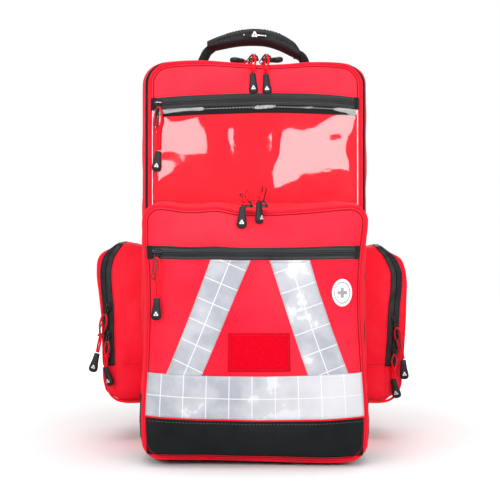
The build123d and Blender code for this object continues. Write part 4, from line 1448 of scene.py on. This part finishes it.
handle_bits.append(on_panel("g9", ((7.5, 623.4), (17, 622.8), (17, 624.0), (7.5, 625.3)), 0.4,
                            "handle", silver_metal, on_grip, high=0.4))
for side in (-1, 1):
    tilt_z = 0.0 if side < 0 else -6.5
    for cx, cz in ((37, 622.5), (44.5, 621), (52.5, 618.5), (47.0, 615), (54, 613.2)):
        cz = cz + tilt_z * (cx / 46)
        cz += -0.5 if side < 0 else 1.5
        handle_bits.append(on_panel(f"h{side}{cx}", circle(side * cx, cz, 1.35, 16), -0.1, "handle",
                                    plastic_black, on_grip, circle(side * cx, cz, 1.0, 16), 0.35))
        handle_bits.append(on_panel(f"i{side}{cx}", circle(side * cx, cz, 1.1, 16), -0.05, "handle",
                                    webbing_cloth, on_grip, high=0.12))
grip_piece = join("handle_grip_detail", handle_bits)
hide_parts("handle_grip")


STRAP_ACROSS = 9


def strap(name, line, ups, width, thick, body, mats):
    """Flat webbing: a closed slab swept along points in mm, ups its face direction."""
    line = np.asarray(line, float)
    ups = np.broadcast_to(np.asarray(ups, float), line.shape)
    way = np.gradient(line, axis=0)
    way /= np.linalg.norm(way, axis=1)[:, None]
    side = np.cross(way, ups)
    side /= np.linalg.norm(side, axis=1)[:, None]
    face = np.cross(side, way)
    there = np.linspace(-1, 1, STRAP_ACROSS)
    place = np.concatenate((there, there[::-1]))
    rise = thick / 2 * (1 - 0.5 * np.abs(place) ** 8) * np.repeat((1, -1), STRAP_ACROSS)
    grid = (line[:, None] + side[:, None] * (place * width / 2)[:, None]
            + face[:, None] * rise[:, None])
    n, k = grid.shape[:2]
    across = (place + 1) * width / 2
    uv = np.stack((np.repeat(steps_along(line), k), np.tile(across, n)), 1) * MM
    obj = face_out(mesh_of(name, grid.reshape(-1, 3), sleeve(n, k), uv))
    return link(obj, body, mats, angle=45)


for s, tag, end_z in ((-1, "left", 604.5), (1, "right", 594)):
    line = refine([(s * x, HANDLE_Y, z) for x, z in (
        (90, 562.0), (86.5, 566.5), (83.5, 573), (81.5, 582), (78, 590.5),
        (72, (590 + end_z) / 2 + 4), (64, end_z + 3))], 44)
    thickness = curve(np.linspace(0, 1, 44), (0, 5.0), (0.2, 7.0), (0.6, 7.6), (1, 7.0))
    web = tube(f"handle_web_{tag}", line, thickness, None, [webbing_cloth], sides=18, flat=1.35,
               up=(0, 1, 0))
    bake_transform(web)
    if s < 0:
        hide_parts("handle_webbing")
    foot = strap(f"handle_foot_{tag}", [(s * x, HANDLE_Y, 562.8 + 0.4 * math.sin(x))
                                        for x in np.linspace(90, 122, 20)],
                 Z, 30, 2.2, "carrier", [webbing_cloth])
    if s < 0:
        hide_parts("handle_anchors")
    box_line = [(s * x, HANDLE_Y + y, 564.0) for x, y in (
        (96, -12), (119, -12), (119, 12), (96, 12), (96, -12), (119, 12))]
    stitches(f"handle_foot_sewing_{tag}", evenly(box_line, 120), Z, "carrier", thread_red)

# ---------------------------------------------------------------- harness on the back
def slab(name, outer, inner):
    """Closed mesh between two grids of points in mm of the same shape."""
    nu, nv = outer.shape[:2]
    idx = np.arange(nu * nv).reshape(nu, nv)
    a, b, c, d = (idx[:-1, :-1].ravel(), idx[1:, :-1].ravel(), idx[1:, 1:].ravel(),
                  idx[:-1, 1:].ravel())
    faces = [*np.stack((a, b, c, d), 1), *(np.stack((d, c, b, a), 1) + nu * nv)]
    edge = np.concatenate((idx[:, 0], idx[-1, 1:], idx[-2::-1, -1], idx[0, -2:0:-1]))
    for i, j in zip(edge, np.roll(edge, -1)):
        faces.append((j, i, i + nu * nv, j + nu * nv))
    verts = np.concatenate((outer.reshape(-1, 3), inner.reshape(-1, 3)))
    obj = face_out(mesh_of(name, verts, faces))
    scene.collection.objects.link(obj)
    return obj


def points_of(obj):
    """An object's evaluated points in mm."""
    graph = bpy.context.evaluated_depsgraph_get()
    data = obj.evaluated_get(graph).data
    co = np.zeros(len(data.vertices) * 3)
    data.vertices.foreach_get("co", co)
    return co.reshape(-1, 3) / MM


def bake(obj):
    """Keeps an object's evaluated mesh and drops its modifiers."""
    bpy.context.view_layer.update()
    graph = bpy.context.evaluated_depsgraph_get()
    data = bpy.data.meshes.new_from_object(obj.evaluated_get(graph))
    obj.modifiers.clear()
    obj.data = data


def swell(obj, pressure, cap, voxel=5.0):
    """Fills a sewn pad like a cushion: even faces, then a short simulation under pressure."""
    mod = obj.modifiers.new("voxels", "REMESH")
    mod.mode = "VOXEL"
    mod.voxel_size = voxel * MM
    bake(obj)
    before = points_of(obj)
    cushion = obj.modifiers.new("cushion", "CLOTH")
    kind = cushion.settings
    kind.use_pressure = True
    kind.uniform_pressure_force = pressure
    kind.effector_weights.gravity = 0
    kind.mass = 0.3
    kind.tension_stiffness = kind.compression_stiffness = 15
    kind.shear_stiffness = 5
    kind.bending_stiffness = 0.5
    cushion.point_cache.frame_start, cushion.point_cache.frame_end = 1, 20
    for step in range(1, 21):
        scene.frame_set(step)
    after = points_of(obj)
    obj.modifiers.clear()
    scene.frame_set(1)
    move = after - before
    far = np.linalg.norm(move, axis=1)[:, None]
    move *= np.minimum(1, cap / np.maximum(far, 1e-6))
    move[~np.isfinite(move).all(axis=1)] = 0
    obj.data.vertices.foreach_set("co", ((before + move) * MM).ravel())
    obj.data.update()


def press(obj, change):
    """Moves an object's points, given and returned in mm."""
    co = np.zeros(len(obj.data.vertices) * 3)
    obj.data.vertices.foreach_get("co", co)
    new = change(co.reshape(-1, 3) / MM)
    obj.data.vertices.foreach_set("co", (new * MM).ravel())
    obj.data.update()


def smoothed(obj):
    """Finishes a pad: subdivided once, smooth, in spacer mesh, on the carrier."""
    mod = obj.modifiers.new("smooth", "SUBSURF")
    mod.levels = mod.render_levels = 1
    bake(obj)
    obj.data.materials.clear()
    obj.data.materials.append(spacer_mesh)
    obj.data.polygons.foreach_set("use_smooth", [True] * len(obj.data.polygons))
    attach(obj, "carrier")


def landing(obj, pts, way, lift=0.3):
    """Points in mm moved along way until they lie on the object's surface, raised by lift."""
    tree = BVHTree.FromPolygons([v.co[:] for v in obj.data.vertices],
                                [p.vertices[:] for p in obj.data.polygons])
    out = []
    way = np.broadcast_to(np.asarray(way, float), np.shape(pts))
    for p, w in zip(np.asarray(pts, float), way):
        hit = tree.ray_cast(Vector((p - w * 40) * MM), Vector(w), 0.09)[0]
        out.append(p if hit is None else np.array(hit) / MM - w * lift)
    return np.array(out)


# back pad: three cushions between sewn channels, bound at its edge
BACK_LOW, BACK_HIGH, BACK_HALF = 53.0, 452.0, 96.0
CHANNELS = (160.0, 262.0, 364.0)
px, pz = arc_panel(BACK_HALF, BACK_LOW, BACK_HIGH, 30, 40, 80)
full = dome(px, pz, BACK_HALF + 2, 252.5, 201.5, 4, 10)
back_pad = slab("back_pad_cushion", stack(px, 98.5 + 6.5 * full, pz), stack(px, 96.2, pz))
swell(back_pad, 4.0, 4.0)


def quilt(co):
    """Presses the sewn channels and the spine groove into the back pad."""
    dent = sum(np.exp(-((co[:, 2] - z) / 6.5) ** 2) for z in CHANNELS)
    groove = np.exp(-(co[:, 0] / 9.0) ** 2)
    outer = np.clip((co[:, 1] - 97.5) / 4, 0, 1)
    co[:, 1] -= np.minimum(dent * 5.6 + groove * 3.0, 6.0) * outer
    pull = np.clip(np.abs(co[:, 0]) / 96, 0, 1) ** 4
    co[:, 0] -= np.sign(co[:, 0]) * pull * dent * 2.0
    co[:, 1] = np.clip(co[:, 1], 95.6, 110.0)
    return co


press(back_pad, quilt)
smoothed(back_pad)
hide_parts("back_pad")
edge = arc_ring(BACK_HALF + 1.0, BACK_LOW - 1, BACK_HIGH + 1, 31, 40, 60, 10)
pull = sum(np.exp(-((edge[:, 1] - z) / 9) ** 2) for z in CHANNELS)
edge[:, 0] -= np.sign(edge[:, 0]) * pull * 1.6 * (np.abs(edge[:, 0]) > 90)
binding = tube("back_pad_binding", stack(edge[:, 0], 98.2, edge[:, 1]), 2.6, "carrier",
               [webbing_cloth], closed=True, sides=10)
rows = []
for k, z in enumerate(CHANNELS):
    for j, dz in enumerate((-1.6, 1.6)):
        line = stack(np.linspace(-89, 89, 110), 103, np.full(110, z + dz))
        rows.append(stitches(f"bp{k}{j}", landing(back_pad, line, FRONT), BACK, "carrier",
                             thread_black, **fine))
for k, (z0, z1) in enumerate(((60, 154), (166, 256), (268, 358), (370, 446))):
    line = stack(np.zeros(60), 103, np.linspace(z0, z1, 60))
    rows.append(stitches(f"bv{k}", landing(back_pad, line, FRONT), BACK, "carrier",
                         thread_black, **fine))
join("back_pad_sewing", rows)

# shoulder straps: curved foam pads with a webbing spine, binding and adjusters
SPINE_YZ = ((103, 545), (106, 512), (126, 470), (142, 410), (146, 345), (142, 280), (128, 215))
spine = refine([(0, y, z) for y, z in SPINE_YZ], 90)
way = np.gradient(spine, axis=0)
way /= np.linalg.norm(way, axis=1)[:, None]
spine_out = np.stack((0 * way[:, 0], -way[:, 2], way[:, 1]), 1)
far = steps_along(spine) / steps_along(spine)[-1]
for s, tag in ((-1, "left"), (1, "right")):
    centre = s * (76.0 - 4.5 * np.cos(far * math.pi) + 2.0 * np.sin(far * TAU))
    half = curve(far, (0, 24), (0.06, 27), (0.3, 28.0), (0.7, 26.5), (0.93, 22), (1, 14))

    def strap_grid(depth, count=18):
        """One face of the pad, bulged by depth from its middle surface."""
        v = np.linspace(-1, 1, count)
        across = v[None, :] * (half - 1.0)[:, None]
        full = np.sqrt(np.maximum(1 - np.abs(v) ** 5, 0))[None, :]
        full = full * np.clip(np.minimum(far, 1 - far) * 18 + 0.45, 0, 1)[:, None]
        grid = spine[:, None] + spine_out[:, None] * (depth * full)[..., None]
        grid = np.broadcast_to(grid, (len(spine), count, 3)).copy()
        grid[..., 0] = centre[:, None] + across
        return grid

    pad = slab(f"shoulder_pad_{tag}", strap_grid(4.2), strap_grid(-3.2))
    swell(pad, 4.0, 2.5, 4.0)
    smoothed(pad)
    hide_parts(f"shoulder_strap_{tag}")
    left_edge = np.stack((centre - half, spine[:, 1], spine[:, 2]), 1)
    right_edge = np.stack((centre + half, spine[:, 1], spine[:, 2]), 1)
    rim_line = refine(np.vstack((left_edge[2:-2:6], [[centre[-1], spine[-1, 1], spine[-1, 2]]],
                                 right_edge[-3:2:-6], [[centre[0], spine[0, 1], spine[0, 2]]],
                                 left_edge[2:3])), 170)[:-1]
    rim_tube = tube(f"shoulder_binding_{tag}", rim_line, 2.3, "carrier", [webbing_cloth],
                    closed=True, sides=10)
    # webbing sewn down the middle of the outer face, in ladder loops
    mid_line = np.stack((centre, spine[:, 1], spine[:, 2]), 1)[4:-3]
    out_way = spine_out[4:-3]
    on_pad = landing(pad, mid_line, -out_way, 0.9)
    spine_web = strap(f"shoulder_web_{tag}", refine(on_pad[::6], 80),
                      np.stack([np.interp(np.linspace(0, 1, 80), np.linspace(0, 1, len(out_way)),
                                          out_way[:, k]) for k in range(3)], 1),
                      25, 1.6, "carrier", [webbing_cloth])
    rows = []
    for k, t in enumerate((0.10, 0.24, 0.38, 0.52, 0.66, 0.80, 0.93)):
        i = int(t * (len(on_pad) - 1))
        base, out_i = on_pad[i], out_way[i]
        along = np.cross(out_i, (1, 0, 0))
        for j, shift in enumerate((-1.3, 1.3)):
            line = np.array([base + (x, 0, 0) + along * shift + out_i * 0.95
                             for x in np.linspace(-11, 11, 16)])
            rows.append(stitches(f"sw{tag}{k}{j}", line, tuple(out_i), "carrier", thread_red,
                                 **fine))
    join(f"shoulder_sewing_{tag}", rows)
    # yoke patch where the strap is sewn to the bag
    cap = strap(f"shoulder_anchor_{tag}",
                refine([(centre[0], 95.6, 548), (centre[0], 100, 547.5), (centre[0], 104.5, 541),
                        (centre[0], 108.5, 528), (centre[0], 111, 512)], 24),
                refine([(0, 0, 1), (0, 0.2, 1), (0, 0.8, 0.8), (0, 1, 0.2), (0, 1, 0)], 24),
                52, 2.2, "carrier", [red_trim])
    # lower adjuster: ladder lock, webbing down to the foot of the bag, loose tail
    foot = np.array((s * 84.0, 124.0, 211.0))
    low_end = np.array((s * 146.0, 96.8, 72.0))
    run = low_end - foot
    run /= np.linalg.norm(run)
    out_l = np.cross(run, (1, 0, 0))
    out_l /= np.linalg.norm(out_l)
    if out_l[1] < 0:
        out_l = -out_l
    web = strap(f"strap_web_{tag}", refine([foot + run * 2, foot + run * 50, foot + run * 100,
                                            low_end], 50), out_l, 25, 2.0, "carrier",
                [webbing_cloth])
    if s < 0:
        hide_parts("strap_webbing")
    tail = strap(f"strap_tail_{tag}",
                 refine([foot + out_l * 4.6, foot + run * 26 + out_l * 5.6,
                         foot + run * 60 + out_l * 4.0, foot + run * 92 + out_l * 3.4], 40), out_l,
                 25, 1.6, "carrier", [webbing_cloth])
    side = np.cross(run, out_l)
    lock = []
    for k, (a, wide, thick) in enumerate(((-9.0, 35, 3.4), (0.5, 35, 4.2), (10.0, 35, 3.4))):
        bar = [foot + run * a + out_l * 2.6 + side * x for x in np.linspace(-wide / 2, wide / 2, 14)]
        lock.append(tube(f"lk{tag}{k}", bar, thick / 2, "carrier", [plastic_black], sides=12,
                         up=tuple(out_l)))
    for k in (-1, 1):
        rail = refine([foot + run * a + out_l * (2.6 + h) + side * k * 16.6
                       for a, h in ((-10, 0), (-4, 0.6), (4, 0.6), (11, 0))], 16)
        lock.append(tube(f"lr{tag}{k}", rail, 2.1, "carrier", [plastic_black], sides=12,
                         up=tuple(out_l)))
    buckle = join(f"ladder_lock_{tag}", lock)


def release_buckle(name, centre, half_x, half_z, depth, body):
    """Side-release buckle: socket, prongs with curved side arms, webbing bars and ribs."""
    centre = np.array(centre, float)
    parts = []

    def plate(tag, outline, y0, y1, soft=0.86):
        o = np.array(outline, float)
        mid = o.mean(axis=0)
        rings = []
        for k, y in ((soft, y0), (1.0, y0 + 0.9), (1.0, y1 - 1.1), (soft, y1), (0.3, y1 + 0.15)):
            q = mid + (o - mid) * k
            rings.append(centre + stack(q[:, 0], y, q[:, 1]))
        parts.append(loft(rings, tag, body, plastic_black))

    turn = turns(40)
    box_x, box_z = boxy(np.cos(turn), 0.45), boxy(np.sin(turn), 0.45)
    waist = 1 - 0.16 * np.exp(-((box_x - 0.35) / 0.35) ** 2)
    socket = np.stack((-half_x * 0.38 + box_x * half_x * 0.6, box_z * half_z * waist), 1)
    plate(name, socket, 0.0, depth)
    male = np.stack((half_x * 0.55 + box_x * half_x * 0.22, box_z * half_z * 0.9), 1)
    plate(name + "_m", male, 0.6, depth - 0.8)
    for k in (-1, 1):
        arm = refine([centre + (half_x * 0.50, depth * 0.5, k * half_z * 0.78),
                      centre + (half_x * 0.30, depth * 0.5, k * half_z * 0.99),
                      centre + (half_x * 0.05, depth * 0.5, k * half_z * 1.02),
                      centre + (-half_x * 0.14, depth * 0.5, k * half_z * 0.90)], 20)
        parts.append(tube(f"{name}_a{k}", arm, depth * 0.30, body, [plastic_black], sides=12))
        bar = [centre + (half_x * (0.93 if k > 0 else -0.95), depth * 0.45, z)
               for z in np.linspace(-half_z * 0.88, half_z * 0.88, 12)]
        parts.append(tube(f"{name}_b{k}", bar, depth * 0.26, body, [plastic_black], sides=12))
        for j in (-1, 1):
            rail = [centre + (half_x * x * k, depth * 0.45, j * half_z * 0.86)
                    for x in np.linspace(0.62, 0.95, 6)]
            parts.append(tube(f"{name}_c{k}{j}", rail, depth * 0.24, body, [plastic_black],
                              sides=10))
    for j in (-2, -1, 0, 1, 2):
        rib_line = [centre + (-half_x * 0.62 + j * half_x * 0.075, depth + 0.1, z)
                    for z in np.linspace(-half_z * 0.55, half_z * 0.55, 10)]
        parts.append(tube(f"{name}_r{j}", rib_line, 0.7, body, [plastic_black], sides=8))
    return join(name, parts)


# sternum strap
STERNUM_Z, HIP_Z, HIP_BEND = 395.0, 111.0, 0.00028
for s, tag in ((-1, "left"), (1, "right")):
    xs_web = np.linspace(s * 14, s * 56, 30)
    line = stack(xs_web, 147.6 + 0.6 * np.sin((np.abs(xs_web) - 14) / 42 * math.pi),
                 STERNUM_Z)
    web = strap(f"sternum_web_{tag}", line, (0, 1, 0), 20, 1.8, "carrier", [webbing_cloth])
    hook = [(s * x, 149.4, STERNUM_Z + dz) for x, dz in ((50, -12), (60, -12), (60, 12),
                                                         (50, 12))]
    ring = tube(f"sternum_loop_{tag}", refine(hook + hook[:1], 40)[:-1], 1.7, "carrier",
                [plastic_black], closed=True, sides=10)
sternum = release_buckle("sternum_buckle", (0, 148.3, STERNUM_Z), 17.5, 13.0, 7.2, "carrier")
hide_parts("sternum_strap")

# hip belt pad, its webbing and buckle
px, pz = arc_panel(88, 69.5, 152.5, 34, 44, 30)
full = dome(px, pz, 90, HIP_Z, 42.5, 4, 4)
bend = HIP_BEND * px ** 2
belt_pad = slab("hip_pad", stack(px, 116.5 + 3.0 * full + bend, pz),
                stack(px, 114.2 - 1.2 * full + bend, pz))
swell(belt_pad, 4.0, 3.0)
press(belt_pad, lambda co: np.stack((
    co[:, 0], np.clip(co[:, 1] - 1.6 * np.exp(-((np.abs(co[:, 2] - HIP_Z) - 27) / 3.5) ** 2)
                      * (co[:, 1] > 115), 110.6, 123.4), co[:, 2]), 1))
smoothed(belt_pad)
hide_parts("hip_belt")
edge = arc_ring(89, 68.5, 153.5, 35, 40, 26, 10)
binding = tube("hip_pad_binding",
               stack(edge[:, 0], 115.2 + HIP_BEND * edge[:, 0] ** 2, edge[:, 1]), 2.3, "carrier",
               [webbing_cloth], closed=True, sides=10)
line = stack(np.linspace(-91, 91, 80), 125.2, HIP_Z)
belt_web = strap("hip_web", line, (0, 1, 0), 38, 2.0, "carrier", [webbing_cloth])
rows = []
for k, x in enumerate((-70, 70)):
    box_line = [(x + dx, 126.3, HIP_Z + dz) for dx, dz in (
        (-13, -14), (13, -14), (13, 14), (-13, 14), (-13, -14), (13, 14))]
    rows.append(stitches(f"hb{k}", evenly(box_line, 120), BACK, "carrier", thread_black, **fine))
join("hip_sewing", rows)
hip = release_buckle("hip_release_buckle", (0, 126.4, HIP_Z), 32.0, 22.0, 10.6, "carrier")
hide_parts("hip_buckle")

# stiffener inside the back
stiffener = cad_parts["frame_sheet"]
stiffener.data.materials.clear()
stiffener.data.materials.append(plastic_black)

# ---------------------------------------------------------------- floor
# white paper: it glows away from the bag, and looks dark in glossy reflections
floor_mat = Tree("studio_floor")
floor_mat.set(Base_Color=(0.93, 0.93, 0.93, 1), Roughness=0.9, Specular_IOR_Level=0.1)
away = floor_mat.node("VectorMath", operation="LENGTH", _0=floor_mat.spot())
glow = floor_mat.span(away.outputs["Value"], 0.35, 1.3, 0.0, 0.55)
floor_mat.set(Emission_Color=(1, 1, 1, 1), Emission_Strength=glow)
floor_dark = floor_mat.node("BsdfDiffuse", Color=(0.12, 0.12, 0.12, 1))
floor_ray = floor_mat.node("LightPath")
floor_mix = floor_mat.node("MixShader", _0=floor_ray.outputs["Is Glossy Ray"],
                           _1=floor_mat.bsdf, _2=floor_dark)
floor_mat.put(floor_mat.out.inputs["Surface"], floor_mix)
floor_mesh = bpy.data.meshes.new("floor")
floor_mesh.from_pydata([(-6, -4, -0.0005), (6, -4, -0.0005), (6, 6, -0.0005), (-6, 6, -0.0005)],
                       [], [(0, 1, 2, 3)])
floor = bpy.data.objects.new("floor", floor_mesh)
scene.collection.objects.link(floor)
floor_mesh.materials.append(floor_mat.mat)
